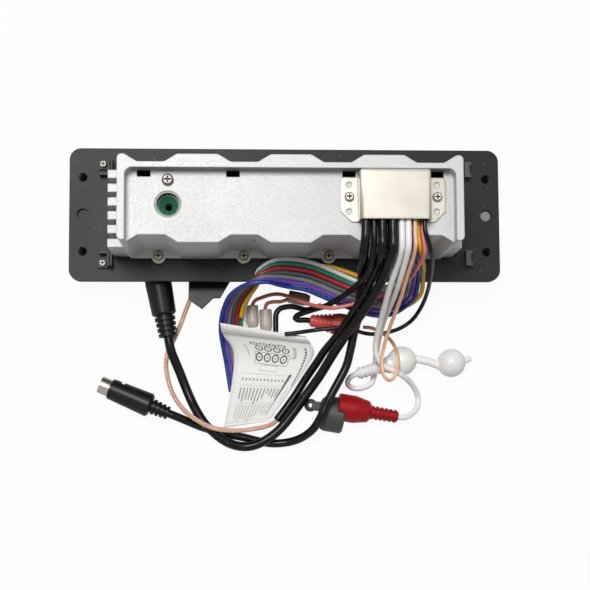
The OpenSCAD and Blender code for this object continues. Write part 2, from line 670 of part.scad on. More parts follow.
plug_cable_route = [each leaves(35.3, z_top_row),
    [35, -24, 69.8], [35, -29.6, 63], [36, -34.6, 50], [37, -39.5, 38], [37.4, -43, 31], [37.4, -47, 28.8],
    [37.2, -51, 28.4], [36.6, -56, 25.4], [35, -63, 21.6], [33.2, -72, 20.4], [30.6, -81, 19.4], [27,
        -88.5, 19.2],
    [23.5, -94, 19.6], [20.5, -100, 19.2], [17.5, -106.5, 18.4], [14, -112.4, 13], [8.5, -116.8, 6.4],
    [1.5, -119.2, 3.2], [-7, -119.8, 2.3], [-15, -118.4, 2.3], [-22, -116.6, 2.3], [-30, -115, 2.3],
    [-38, -113, 2.3], [-46, -110.4, 2.4], [-52.6, -107.6, 4], [-58, -105.3, 6.2], [-62.2, -103.6, 6.5],
    [-65.5, -102.2, 6.5]];
socket_cable_route = [each leaves(48.2, z_top_row),
    [48.2, -26.4, 71], [47.8, -30, 67.4], [46.9, -34.4, 60.4], [45.4, -39, 54.4], [43.6, -43.6, 48.6],
    [40.8, -48.6, 43], [37.4, -53.8, 37.4], [34.4, -58.2, 31.8], [31.2, -62.7, 26.4], [28, -67.7, 21.2],
    [25, -72.5, 16.8], [21.8, -78, 13], [18.5, -83.5, 10.6], [14.5, -89.3, 8.8], [10.3, -95, 8],
    [5, -102.4, 7.4], [-0.3, -109.2, 7.2], [-5.4, -114.3, 7.4], [-11, -118.2, 7.4], [-16.4, -120.6, 6.8],
    [-21.6, -121.4, 6.4], [-27, -120.6, 6.6], [-32.2, -118.4, 7], [-37.6, -114.4, 7.4],
    [-42.6, -109.4, 7.4], [-46.8, -103.2, 5.6], [-50.3, -96.5, 3.4], [-53.5, -89, 2.7],
    [-56.4, -81.5, 3.4], [-58.8, -75.6, 5.2], [-60.9, -70, 6.8], [-62.2, -63.4, 7], [-62.9, -59.4, 7]];
coax_jacket_route = [each leaves(43.2, z_top_row),
    [43.2, -26.2, 70.8], [42.9, -29.8, 65.8], [42.2, -33.4, 56.8], [41, -38, 49], [39.2, -43, 42.4],
    [37, -47.6, 37.4], [34.2, -52, 32.6], [31.4, -56.4, 26.4], [28.7, -60.8, 21], [24.8, -66, 14.6],
    [20.6, -71, 9.8], [17.4, -76, 6.4], [14, -81, 3.9], [10, -87, 2.6], [6, -93.4, 2.3],
    [1, -100.4, 2.3], [-4.4, -107.4, 2.3]];
coax_braid_route = [[-3.2, -105.8, 2.3], [-6.4, -109, 2.8], [-10.9, -110.8, 4.4], [-16, -111.8, 6],
    [-21.6, -112.6, 7.6], [-27, -112.9, 9.4], [-32.1, -112.6, 10.8], [-37, -111.8, 11.8],
    [-41.6, -110.2, 11.8], [-46.4, -107.6, 10.4], [-51.4, -104.2, 6.4], [-55.6, -100, 3],
    [-59, -95.2, 1.5], [-61.6, -89.4, 1.4], [-63.2, -83, 1.4], [-63.8, -77, 1.4], [-62.8, -70.6, 1.4],
    [-60.2, -65, 1.4], [-57.8, -60, 1.4], [-55.4, -54, 1.4], [-53.2, -48, 1.5], [-51, -42.5, 2]];
black_lead_route = [each leaves(39.2, z_top_row),
    [39.2, -23, 70.2], [39.2, -27, 68.6], [39, -31, 64.4], [38.6, -35.6, 57.6], [35.4, -39.6, 50.6],
    [33, -41.8, 45], [30.4, -43.6, 39.6], [27.8, -45.2, 34], [25.2, -46.3, 30], [22.4, -47.9, 27.8],
    [19.6, -48.6, 21.6], [14.5, -49.2, 13], [9.6, -50.4, 9.2], [6.4, -51.6, 7.2], [5.4, -53, 6.4],
    [7.4, -54, 6.4], [10.6, -53.9, 6.4], [13.4, -54.2, 6.4], [17.4, -54.8, 6.4]];
black_link_route = [[20, -45.4, 1.6], [16, -47, 1.6], [11.6, -47.8, 1.6], [7, -46.6, 1.6], [3, -46, 1.6],
    [-2, -47, 1.6], [-4.4, -49.6, 1.6], [-4.8, -53, 1.6], [-4.8, -57, 1.6], [-5, -61, 1.6],
    [-6.4, -64.4, 1.7], [-8.8, -65.6, 2.2], [-10, -62.8, 3], [-10.1, -58.4, 3.5]];
white_lead_route_a = [each leaves(55.6, z_top_row),
    [55.6, -25.6, 70.4], [55.4, -30, 66.2], [54.8, -35, 59], [54.2, -40, 51.4], [53.4, -45, 42.4],
    [52, -50.4, 33], [50.6, -55.6, 25], [49.6, -61, 18.4], [49, -67, 12.4], [48.8, -72.4, 6.6],
    [48.7, -77.4, 2.4], [48.5, -82.6, 1.6], [46.4, -88, 1.6], [41, -90.4, 1.6], [36.4, -90.2, 2.2],
    [33.4, -88, 5], [34.4, -85, 7.2], [37, -83.4, 7.9], [41, -82.2, 8], [44, -81.3, 8]];
white_lead_route_b = [each leaves(52.4, z_top_row),
    [52.4, -25.6, 70.4], [52, -30, 66.6], [51.2, -35, 60.4], [50, -40.4, 53.6], [49.2, -46, 45.4],
    [48.6, -51.4, 37.6], [47.8, -57.6, 29.6], [47, -64, 23.2], [46.6, -69.6, 19.4], [47.8, -75, 17.4],
    [51.4, -79.4, 16.4], [56, -81.6, 16], [60.8, -84, 14.8], [65.6, -87, 10.4], [69.6, -91, 5.6],
    [71.7, -96, 3], [70.6, -101.4, 4.4], [66.6, -105, 6.6], [62.6, -106.4, 7.6], [59, -105.8, 7.6],
    [55.6, -105.2, 7.6]];
copper_wire_route = [each leaves(58.8, z_top_row),
    [58.8, -25.6, 70.4], [58.6, -30, 66.6], [57.8, -35, 60], [57, -40, 53], [56.4, -45.6, 45.4],
    [55, -52.4, 36], [53.2, -59.4, 27.6], [51.4, -66.6, 23], [50, -73.4, 20.6], [49.6, -79.6, 19.8],
    [51, -84.6, 19.2], [53.8, -87, 18.8], [56.8, -84.8, 18.6], [58.4, -79.6, 18.2], [58.6, -73.6, 16],
    [57.6, -68, 12], [55, -63.4, 7.6], [51.4, -60, 4], [47, -57.8, 2], [42.6, -57.2, 1.2]];
ground_wire_route = [each leaves(63.4, z_top_row),
    [64.6, -22, 70], [67, -26.4, 65.6], [69.6, -30, 57], [71.6, -33.4, 45], [73.2, -37.6, 31],
    [74, -42, 18.5], [72.8, -47.6, 8.8], [69, -53.6, 2.6], [62.4, -58, 1.4], [54.5, -60.4, 1.3],
    [47.4, -61, 1.3], [41.6, -60.4, 3.6], [37.6, -59.6, 8.6], [33.6, -59.2, 13.4], [28, -59, 14],
    [22, -59.4, 13.4], [15.6, -60, 12.4], [10, -60.8, 12.6], [4.4, -61.6, 12.6], [-0.4, -62, 12.4]];

// The bundle's middle line, and the lanes that its wires keep beside it
bundle = [[51, grommet_y, z_low_row], [51, cover_bottom - 4, z_low_row], [51.8, -25, 66.7],
    [54.6, -28.6, 58], [58, -31.6, 45], [60.8, -36, 31.6], [61, -40, 20], [57.6, -43, 11.6],
    [51.6, -45.4, 14.4], [44, -45.5, 21.2], [36, -43.4, 25], [28.6, -40.4, 25.2], [20.4, -36.9, 25.6],
    [11.5, -33.6, 26.6], [3, -32.2, 27.4], [-5.4, -32, 28.8], [-13, -34, 30.4], [-19, -37.6, 28.4],
    [-23.6, -42, 22], [-26.6, -47, 15.4], [-28, -52.4, 10.6], [-27.9, -58.4, 7.2], [-26.4, -65.6, 4.2],
    [-24.7, -74, 2], [-23.4, -82, 1.3], [-22, -91, 1.3]];
// The flat bundle rolls over as it comes down at the left
rolls_from = 14;
rolls = [0, 20, 55, 92, 118, 130, 142, 156, 172, 180];
function roll(i) = rolls[min(max(i - rolls_from, 0), len(rolls) - 1)];
lane_step = 2.4;
square_to = 5;
function heading(i) = let (
    a = bundle[max(i - 1, 0)],
    b = bundle[min(i + 1, len(bundle) - 1)])
    i < square_to ? [0, -1, 0] : unit(b - a);
function place(i, lane, layer = 0) =
    let (
        ahead = heading(i),
        side = unit([-ahead[1], ahead[0], 0]),
        rise = cross(ahead, side),
        turn = roll(i))

           bundle[i] + (lane * cos(turn) - layer * sin(turn)) * side
            + (lane * sin(turn) + layer * cos(turn)) * rise;
function wire_lane(k) = [for (i = [0:len(bundle) - 1]) place(i, k * lane_step)];

// The yellow wire crosses under the lanes after the hook and shows again outside the arch
yellow_wire_route = [each [for (i = [0:5]) place(i, 4 * lane_step)],
    place(6, 4 * lane_step, -1.6), place(7, 2.4 * lane_step, -3), place(8, -1.2 * lane_step, -2.8),
    place(9, -3.6 * lane_step, -2.5), place(10, -4.1 * lane_step), place(11, -4.1 * lane_step),
    place(12, -3.8 * lane_step, -1.6), place(13, -2.6 * lane_step, -2.6),
    each [for (i = [14:20]) place(i, -1.5 * lane_step, -2.6)]];
pink_lead_route = [each [for (i = [0:2]) place(i, 5 * lane_step)],
    [64.2, -28.8, 65], [63, -32.6, 57], [61.4, -36, 49], [59, -39, 43.4], [56, -41.6, 39], [50.4, -44,
        35.4],
    [44, -45.6, 33.2], [39, -47, 33], [33.6, -48.6, 31.2], [28, -49.8, 30.4], [22.4, -50.4, 29.6],
    [16.8, -48.8, 24], [11.6, -46.8, 18], [6.6, -44.2, 13.6], [1.6, -41.8, 10.8], [-3.4, -40.4, 9.4],
    [-8, -40.6, 8], [-12.4, -41.8, 6.2], [-16, -43.2, 4.6], [-17.6, -46.2, 3.6], [-17.4, -50.4, 3.5]];
pink_link_route = [[-10.2, -55.4, 3.5], [-10.3, -51.6, 3.5], [-10.5, -47.4, 3.6], [-9.6, -44.9, 4.4],
    [-6.6, -44, 5], [-2, -43.8, 5.2], [1.4, -42.6, 4.6], [5, -41.4, 3.8], [9.8, -42.2, 3.6]];

// Moulded in-line socket for the wired remote
socket_at = [-68.2, -30.8, 7];
socket_heading = -79.5;
module remote_socket() color("#1a1a1b") lying(socket_at, socket_heading) {
    difference() {
        turned([[0, 0], [socket_r - 0.5, 0], [socket_r, 0.6], [socket_r, 5], [socket_r - 0.5, 20],
            [socket_r - 1.5, 21], [0, 21]]);
        translate([0, 0, -cut]) difference() {
            cylinder(r = 4.8, h = 7 + cut);
            cylinder(r = 3.4, h = 9 + cut);
        }
    }
    ribbed_tail(21, 11.5, socket_r - 1.5, socket_r - 2.2, 4);
}

// Moulded round plug with its metal shell
plug_at = [-98, -88.2, 6.5];
plug_heading = -23.2;
shell_r = 4.6;
module remote_plug() color("#1a1a1b") lying(plug_at, plug_heading) {
    difference() {
        turned([[0, 5.5], [plug_r - 1.4, 5.5], [plug_r - 0.8, 6.1], [plug_r, 28], [plug_r - 1.2, 29],
            [0, 29]]);
        translate([0, 0, 4]) cylinder(r = shell_r + fit, h = 4);
        translate([-plug_r - cut, plug_r - 1.5, 10]) cube([2 * plug_r + 2, 2, 2]);
    }
    ribbed_tail(29, 10, plug_r - 2.2, plug_r - 3.1, 4);
}
module plug_shell() color("#cfc8b4") lying(plug_at, plug_heading) {
    difference() {
        cylinder(r = shell_r, h = 8);
        translate([0, 0, -cut]) cylinder(r = shell_r - 0.4, h = 7 + cut);
        translate([shell_r - 1, -1, -cut]) cube([2, 2, 5]);
    }
    for (a = [0:60:300]) rotate(a) translate([2.6, 0, 1]) cylinder(r = 0.45, h = 6.2);
}

module plug_cable() color("#151516") tube(plug_cable_route, cable_d, 10);
module socket_cable() color("#151516") tube(socket_cable_route, socket_cable_d, 10);
module coax_jacket() color("#151516") tube(coax_jacket_route, cable_d, 10);
module coax_braid() color("#d9a58a") tube(coax_braid_route, braid_d);
module black_lead() color("#171718") {
    tube(black_lead_route, lead_d);
    tube(black_link_route, lead_d);
}
module white_leads() color("#e4e2df") {
    tube(white_lead_route_a, lead_d);
    tube(white_lead_route_b, lead_d);
}
module copper_wire() color("#e39b6a") tube(copper_wire_route, copper_d);
module ground_wire() color("#101010") tube(ground_wire_route, wire_d);
module speaker_wires() {
    color("#e2ded2") tube(wire_lane(-3), wire_d);
    color("#0f7d62") tube(wire_lane(-2), wire_d);
    color("#77787a") tube(wire_lane(1), wire_d);
    color("#5a5b5d") tube(wire_lane(0), wire_d);
    color("#6a3ea1") tube(wire_lane(2), wire_d);
}
module supply_wires() {
    color("#b3172b") tube(wire_lane(-1), wire_d);
    color("#1e3f96") tube(wire_lane(3), wire_d);
    color("#d9a514") tube(yellow_wire_route, wire_d);
}
module pink_leads() color("#c4605c") {
    tube(pink_lead_route, pink_d);
    tube(pink_link_route, pink_d);
}

// Black tape folded round the end of the braided lead
module tape_flag() color("#1b1b1b") linear_extrude(4)
    polygon([[-51.5, -30], [-28, -30], [-34.8, -41.4], [-38.4, -41.4], [-44.6, -47.4], [-51.8, -42.2]]);

// Phono sockets on the leads, each with a ribbed tail and a barrel that widens
module phono(tail, ribs, r_tail, r_shoulder, r_barrel, barrel) {
    ribbed_tail(0, tail, r_tail - 0.3, r_tail, ribs);
    turned([[0, tail - fit], [r_tail, tail - fit], [r_shoulder, tail + 1.5], [r_barrel, tail + barrel / 2],
        [r_barrel, tail + barrel], [r_barrel - 0.4, tail + barrel + 0.4], [0, tail + barrel + 0.4]]);
}
white_at = [38.5, -82.9, 8];
white_heading = 15.9;
white_tail = 15;
cap_along = 24.8;
far_cap = [0, -8.3, 50];
module white_phono() color("#e9e7e3") lying(white_at, white_heading)
    phono(white_tail, 6, tail_r, phono_r - 0.6, phono_r, 11);
module white_cap() color("#f0efec") lying(white_at, white_heading) {
    difference() {
        union() {
            translate([0, 0, cap_along]) sphere(r = cap_r);
            hull() {
                translate([0, 0, cap_along + cap_r - 2]) sphere(r = 2.2);
                translate([0, far_cap[1] / 2, (cap_along + far_cap[2]) / 2 + 1]) sphere(r = 2.2);
            }
            hull() {
                translate([0, far_cap[1] / 2, (cap_along + far_cap[2]) / 2 + 1]) sphere(r = 2.2);
                translate(far_cap - [0, 0, cap_r - 2]) sphere(r = 2.4);
            }
        }
        translate([0, 0, 10]) cylinder(r = phono_r + fit, h = white_tail + 1.5 + fit);
    }
    translate(far_cap) sphere(r = cap_r - 0.2);
    translate(far_cap + [0, -0.6, cap_r - 1.4]) cylinder(r1 = 2.2, r2 = 1.5, h = 4.4);
}
red_at = [59.7, -105.9, 7.6];
red_heading = 170.2;
red_tail = 14.5;
red_barrel = 17.5;
ring_end_r = 3.4;
cap_off = 4.5;
cap_half = 9.5;
cap_from = 28.4;
cap_long = 13.4;
module red_phono() color("#c01c22") lying(red_at, red_heading)
    phono(red_tail, 6, tail_r + 0.2, red_r - 1.6, red_r, red_barrel);
module grey_cap() color("#4b4c4e") lying(red_at, red_heading) {
    difference() {
        translate([0, cap_off, cap_from])
            scale([red_r / cap_half, 1, 1]) turned([[0, 0], [cap_half - 1, 0], [cap_half, 1],
                [cap_half, cap_long - 4], [cap_half - 0.7, cap_long - 2], [cap_half - 2.2, cap_long - 0.7],
                [cap_half - 4, cap_long], [0, cap_long]]);
        translate([0, 0, cap_from - cut])
            cylinder(r = red_r + fit, h = red_tail + red_barrel + 0.5 - cap_from + cut);
    }
    translate([2, -1, cap_from + cap_long - 2]) cube([2, 5, 6]);
    translate([red_at[2] - 0.2, 1.5, cap_from + cap_long + 4.6]) rotate([0, -90, 0])
        turned([[1.2, 0], [ring_end_r - 0.5, 0], [ring_end_r, 0.8], [ring_end_r, 3.8],
            [ring_end_r - 0.8, 4.8], [1.8, 4.8], [1.2, 4.2]]);
}
upper_r = 6.1;
upper_tail = 13;
upper_barrel = 7;
module upper_phono() color("#b8383c") lying([13.4, -54.2, 6.4], -8.1) {
    ribbed_tail(0, upper_tail, tail_r - 0.1, upper_r - 0.3, 6);
    turned([[0, upper_tail - fit], [upper_r - 0.6, upper_tail - fit], [upper_r, upper_tail + 2],
        [upper_r, upper_tail + upper_barrel], [upper_r - 0.4, upper_tail + upper_barrel + 0.4],
        [0, upper_tail + upper_barrel + 0.4]]);
}
grey_r = 3.4;
grey_phono_at = [[-17.1, -57.4, 3.5, 93], [-10, -59.6, 3.5, 92], [13.4, -43, 3.6, 169]];
module grey_phonos() color("#8d8a88")
    for (g = grey_phono_at) lying([g[0], g[1], g[2]], g[3]) difference() {
        turned([[0, 0], [grey_r - 0.9, 0], [grey_r - 0.4, 1.2], [grey_r, 3], [grey_r, 11],
            [grey_r - 0.3, 11.6],
            [0, 11.6]]);
        translate([0, 0, 4]) cylinder(r = grey_r - 1, h = 10);
    }

// Folded paper label that lies over the tail of the bundle
label_t = 0.8;
label_bend_y = -86;
label_flat_z = 2.9;
label_left = [[-34.5, -56.6], [-33.4, -62], [-28, -69.6], [-27.6, -80], [-30, -96], [-33, -111.5]];
label_right = [[10.5, -63], [15.6, -70.5], [12.4, -78], [5.6, -88], [-2.6, -99.6], [-8.6, -107.8]];
function label_z(y) = let (k = (y - label_bend_y) / 25)
    label_flat_z + (k > 0 ? 7.8 * pow(k, 3) : 1.6 * k);
module paper_label() color("#efede8") {
    n = len(label_left);
    left = run(label_left, 1000);
    right = run(label_right, 1000);
    top = [for (i = [0:n - 1]) each [
        [each left[i], label_z(left[i][1]) + label_t], [each right[i], label_z(right[i][1]) + label_t]]];
    low = [for (p = top) p - [0, 0, label_t]];
    m = len(top);
    strips = [for (i = [0:n - 2]) let (a = 2 * i) each [
        [a, a + 1, a + 3], [a, a + 3, a + 2],
        [m + a, m + a + 3, m + a + 1], [m + a, m + a + 2, m + a + 3],
        [a, a + 2, m + a + 2], [a, m + a + 2, m + a],
        [a + 1, m + a + 1, m + a + 3], [a + 1, m + a + 3, a + 3]]];
    ends = [[0, m, m + 1], [0, m + 1, 1], [m - 2, m - 1, 2 * m - 1], [m - 2, 2 * m - 1, 2 * m - 2]];
    polyhedron(concat(top, low), concat(strips, ends));
}

mounting_flange();
left_clips();
right_hooks();
fascia_screws();
fascia();
display_window();
display_module();
front_board();
front_board_screws();
keypad_mat();
key_power();
key_mute();
key_source();
key_back();
key_play();
key_next();
volume_knob();
encoder_shaft();
encoder_plunger();
encoder_body();
casting();
casting_seal();
ear_screws();
panel_screw();
main_board();
board_screws();
amplifier_chip();
chip_clamp();
clamp_screws();
capacitors();
tuner_can();
ribbon_cable();
aerial_shell();
aerial_insert();
aerial_contact();
harness_cover();
cover_screws();
harness_grommet();
remote_socket();
socket_cable();
remote_plug();
plug_shell();
plug_cable();
coax_jacket();
coax_braid();
tape_flag();
white_leads();
white_phono();
white_cap();
red_phono();
grey_cap();
copper_wire();
black_lead();
upper_phono();
speaker_wires();
supply_wires();
pink_leads();
ground_wire();
grey_phonos();
paper_label();
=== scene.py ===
"""Looks of a flush-mount marine stereo that lies face down with its harness spread on a table."""
import math
from functools import reduce

import bmesh
import bpy
from mathutils import Matrix, Vector


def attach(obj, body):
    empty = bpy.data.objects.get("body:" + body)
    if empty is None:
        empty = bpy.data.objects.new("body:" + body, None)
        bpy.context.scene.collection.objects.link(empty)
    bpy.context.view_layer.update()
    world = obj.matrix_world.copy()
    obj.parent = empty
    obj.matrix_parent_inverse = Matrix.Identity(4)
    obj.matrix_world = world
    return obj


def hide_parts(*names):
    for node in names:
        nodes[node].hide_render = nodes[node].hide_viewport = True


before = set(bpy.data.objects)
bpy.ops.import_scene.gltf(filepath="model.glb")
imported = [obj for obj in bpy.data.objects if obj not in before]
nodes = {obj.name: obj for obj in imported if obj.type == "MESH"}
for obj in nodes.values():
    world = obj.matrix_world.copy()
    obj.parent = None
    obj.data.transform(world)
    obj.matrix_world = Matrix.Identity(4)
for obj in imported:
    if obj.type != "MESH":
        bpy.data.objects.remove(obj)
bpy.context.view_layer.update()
MM = 0.001

# Places on the part that the finishes use, in metres
RECESS_TOP, RECESS_FLOOR, RIM = 0.011, 0.0655, 0.072
SLOTS_LOW, SLOTS_REACH = 0.004, 0.0786
DIMPLE_X, DIMPLE_R, DIMPLE_FLOOR, DIMPLE_TOP = 0.106, 0.0027, 0.018, 0.0195
KEY_PITCH, KEY_ROW, KEY_SPLIT, KEY_FACE = 0.015, 0.01, -0.0625, 0.0011
KNOB_X, KNOB_FACE = 0.07, 0.0016
EAR_PITCH, EAR_MIDDLE, EAR_ROW = 0.0442, -0.0031, 0.0195

# The harness cover, in millimetres
COVER = {"x": 49.2, "half": 17.0, "low": -13.7, "top": 9.9, "z": 65.5, "h": 8.6, "t": 0.8, "ear": 8.3,
         "chamfer": 5.3, "screw_x": 21.15, "screw_y": -1.6, "screw_r": 1.6, "spare_r": 1.4,
         "spare_low": -8.6, "spare_top": 4.4, "bend": 1.5, "edge": 0.12}


def tone(code):
    """A colour written as six hex digits, made linear; a linear colour stays as it is."""
    if not isinstance(code, str):
        return code
    parts = [int(code[i:i + 2], 16) / 255 for i in (0, 2, 4)]
    return tuple(c / 12.92 if c <= 0.04045 else ((c + 0.055) / 1.055) ** 2.4 for c in parts)


def shade(code, factor):
    return tuple(min(1.0, c * factor) for c in tone(code))


def inside(value, low, high):
    return (value > low) * (value < high)


def paired(operation, swapped=False):
    """A method that joins a term and another value in one Math node."""
    def method(self, other):
        return self.math(operation, *((other, self) if swapped else (self, other)))
    return method


class Term:
    """A node's output that can stand in a sum."""

    def __init__(self, home, socket):
        self.home, self.socket = home, socket

    def math(self, operation, *terms):
        return self.home.node("ShaderNodeMath", {"operation": operation}, dict(enumerate(terms)))

    __add__, __radd__ = paired("ADD"), paired("ADD", True)
    __sub__, __rsub__ = paired("SUBTRACT"), paired("SUBTRACT", True)
    __mul__, __rmul__ = paired("MULTIPLY"), paired("MULTIPLY", True)
    __truediv__, __pow__ = paired("DIVIDE"), paired("POWER")
    __lt__, __gt__ = paired("LESS_THAN"), paired("GREATER_THAN")
    most, least = paired("MAXIMUM"), paired("MINIMUM")

    def __abs__(self):
        return self.math("ABSOLUTE", self)

    def fract(self):
        return self.math("FRACT", self)


class Nodes:
    """A node tree being built. Each new node gives back one of its outputs."""

    def __init__(self, tree):
        self.tree = tree

    def put(self, node, sockets):
        for key, value in sockets.items():
            socket = node.inputs[key]
            for part in value if isinstance(value, list) else [value]:
                if isinstance(part, Term):
                    self.tree.links.new(part.socket, socket)
                else:
                    socket.default_value = (*tone(part), 1) if socket.type == "RGBA" else part

    def node(self, kind, settings=None, sockets=None, out=0):
        new = self.tree.nodes.new(kind)
        for key, value in (settings or {}).items():
            setattr(new, key, value)
        self.put(new, sockets or {})
        return Term(self, new.outputs[out]) if new.outputs else new

    def ray(self, kind):
        return self.node("ShaderNodeLightPath", out=f"Is {kind} Ray")


class Paint(Nodes):
    """A material being mixed: a Principled shader and the nodes that feed it."""

    def __init__(self, name, code, rough, constants=None):
        self.material = bpy.data.materials.new(name)
        self.material.use_nodes = True
        self.material.diffuse_color = (*tone(code), 1)
        super().__init__(self.material.node_tree)
        self.shader = self.tree.nodes["Principled BSDF"]
        self.put(self.shader, {"Base Color": code, "Roughness": rough, **(constants or {})})

    def object_place(self):
        return self.node("ShaderNodeTexCoord", out="Object")

    def run_place(self):
        return self.node("ShaderNodeUVMap", {"uv_map": "run"})

    def axes(self, place):
        parts = self.node("ShaderNodeSeparateXYZ", sockets={"Vector": place})
        return [Term(self, s) for s in parts.socket.node.outputs]

    def stretched(self, place, scale):
        return self.node("ShaderNodeMapping", sockets={"Vector": place, "Scale": scale})

    def noise(self, place, scale, detail=2.0, rough=0.5):
        return self.node("ShaderNodeTexNoise", sockets={
            "Vector": place, "Scale": scale, "Detail": detail, "Roughness": rough})

    def cells(self, place, scale, out="Distance"):
        return self.node("ShaderNodeTexVoronoi", sockets={"Vector": place, "Scale": scale}, out=out)

    def mix(self, share, first, second):
        return self.node("ShaderNodeMix", {"data_type": "RGBA"}, {0: share, 6: first, 7: second}, out=2)

    def dusted(self, skin, place, scale, size, share, strength, code):
        """A skin with sparse round specks of another colour."""
        chance = self.axes(self.cells(place, scale, "Color"))[0]
        spots = (self.cells(place, scale) < size) * (chance < share)
        return self.mix(spots * strength, skin, code)

    def bump(self, height, strength, distance, rounding=0.0):
        """Relief from a height, over edges that look rounded where a radius in millimetres is given."""
        sockets = {"Height": height, "Strength": strength, "Distance": distance}
        if rounding:
            sockets["Normal"] = self.rounded(rounding)
        return self.node("ShaderNodeBump", sockets=sockets)

    def rounded(self, radius):
        return self.node("ShaderNodeBevel", {"samples": 4}, {"Radius": radius * MM})

    def edges(self, radius):
        """1 on sharp edges, 0 on flats."""
        true = self.node("ShaderNodeNewGeometry", out="True Normal")
        return 1 - self.node("ShaderNodeVectorMath", {"operation": "DOT_PRODUCT"},
                             {0: self.rounded(radius), 1: true}, out="Value")

    def done(self, **links):
        self.put(self.shader, {key.replace("_", " ").title(): value for key, value in links.items()})
        return self.material


# Finishes

def moulded(name, code, rough, grain=0.35, relief=0.25, dust=0.0, constants=None, rounding=0.35):
    """Moulded plastic or rubber with a spark-eroded grain, and dust where it has lain about."""
    p = Paint(name, code, rough, constants)
    place = p.object_place()
    fine = p.noise(place, 1 / (grain * MM), 2)
    broad = p.noise(place, 55, 3)
    skin = p.mix(broad, shade(code, 0.88), shade(code, 1.12))
    if dust:
        skin = p.dusted(skin, place, 330, 0.11, dust, 0.55, "b9b7b2")
    return p.done(
        base_color=skin, roughness=rough + (fine - 0.5) * 0.18 + (broad - 0.5) * 0.12,
        normal=p.bump(fine, relief, 0.05 * MM, rounding))


def plated(name, code, rough, brush, relief=0.12, tarnish=0.0, tarnish_code="6f5b3c", metal=1.0):
    """Bare or plated metal, with fine lines along one axis and a little tarnish."""
    p = Paint(name, code, rough, {"Metallic": metal})
    place = p.object_place()
    lines = p.noise(p.stretched(place, brush), 1.0, 3)
    broad = p.noise(place, 160, 4, 0.6)
    skin = p.mix(lines, shade(code, 0.96), shade(code, 1.03))
    if tarnish:
        skin = p.mix((broad - 0.35).most(0.0) * tarnish, skin, tarnish_code)
    return p.done(
        base_color=skin, roughness=rough + (lines - 0.5) * 0.14 + (broad - 0.5) * 0.12,
        normal=p.bump(lines, relief, 0.03 * MM))


def sheet_nickel(name):
    """Pressed nickel sheet: soft cloudy sheen and fine scratches."""
    p = Paint(name, "ece7da", 0.34, {"Metallic": 0.4})
    place = p.object_place()
    cloud = p.noise(place, 70, 4, 0.6)
    fine = p.noise(place, 1700, 2)
    scratch = p.cells(p.stretched(place, (140, 1500, 400)), 1.0) < 0.06
    skin = p.mix(cloud, "c6c0b2", "d6d1c5")
    skin = p.mix(scratch * 0.25, skin, "b9b2a2")
    # Painted shade: the cover darkened along its edges.
    skin = p.mix((p.edges(0.35) * 2).least(1.0) * 0.5, skin, "a49a88")
    return p.done(base_color=skin, roughness=0.26 + cloud * 0.12 + scratch * 0.1,
                  normal=p.bump(fine, 0.05, 0.03 * MM, 1.3))


def cast_metal(name):
    """Silver-sprayed casting: a fine bright grain over a slightly uneven skin."""
    p = Paint(name, "bdbdbc", 0.5, {"Metallic": 0.3, "Specular IOR Level": 0.4})
    place = p.object_place()
    grain = p.noise(place, 1500, 3, 0.7)
    flake = p.cells(place, 1900)
    broad = p.noise(place, 38, 3)
    skin = p.mix(grain, "a2a2a2", "e3e3e2")
    skin = p.mix(broad * 0.2, skin, "b0b0b0")
    # Painted highlight, with some edge wear: the casting made near white along its edges.
    skin = p.mix((p.edges(0.7) * 2.5).least(1.0) * 0.6, skin, "f6f6f5")
    x, y, z = p.axes(place)
    # Painted shade: the top wall of the recess, below the rim, darkened.
    step = inside(y, RECESS_TOP - 0.0002, RECESS_TOP + 0.00006) * inside(z, RECESS_FLOOR, RIM - 0.0004)
    skin = p.mix(step * 0.62, skin, "4a4a4a")
    # Painted shade: near black inside the casting behind the slots.
    shaded_hollow = (abs(x) < SLOTS_REACH) * inside(y, SLOTS_LOW, RECESS_TOP + 0.0001) * (z < RECESS_FLOOR - 0.0002)
    skin = p.mix(shaded_hollow, skin, "0c0c0c")
    return p.done(
        base_color=skin, roughness=0.42 + flake * 0.24 + (broad - 0.5) * 0.1,
        normal=p.bump(grain + flake * 0.6, 0.5, 0.1 * MM, 0.7))


def panel_black(name):
    """Satin black panel with dust, and a painted reflection on the floor of its right dimple."""
    p = Paint(name, "262627", 0.5, {"Specular IOR Level": 0.22})
    place = p.object_place()
    x, y, z = p.axes(place)
    fine = p.noise(place, 2600, 2)
    broad = p.noise(place, 24, 4, 0.6)
    skin = p.mix(broad, "191919", "222223")
    skin = p.dusted(skin, place, 420, 0.10, 0.16, 0.6, "b4b2ae")
    # Painted reflection: the floor of the right dimple made pale.
    near = (x - DIMPLE_X) * (x - DIMPLE_X) + y * y < DIMPLE_R ** 2
    skin = p.mix(near * inside(z, DIMPLE_FLOOR, DIMPLE_TOP) * 0.8, skin, "9b9ba0")
    return p.done(
        base_color=skin, roughness=0.46 + (fine - 0.5) * 0.2 + (broad - 0.5) * 0.12,
        normal=p.bump(fine, 0.3, 0.05 * MM, 0.4))


def drawn_skin(name, code, rough, dust=0.08, streak=0.1, constants=None):
    """Extruded cable skin: faint lines along its run and a few dust specks."""
    p = Paint(name, code, rough, constants)
    run = p.run_place()
    streaks = p.noise(p.stretched(run, (1.2, 9.0, 1.0)), 1.0, 3)
    patches = p.noise(p.stretched(run, (0.9, 1.0, 1.0)), 1.0, 3)
    skin = p.mix(streaks, shade(code, 1 - streak), shade(code, 1 + streak))
    skin = p.mix((patches - 0.4).most(0.0) * 0.5, skin, shade(code, 0.8))
    if dust:
        skin = p.dusted(skin, p.object_place(), 650, 0.14, dust, 0.5, "bdbab4")
    return p.done(
        base_color=skin, roughness=rough + (streaks - 0.5) * 0.16 + (patches - 0.5) * 0.14,
        normal=p.bump(streaks, 0.1, 0.05 * MM))


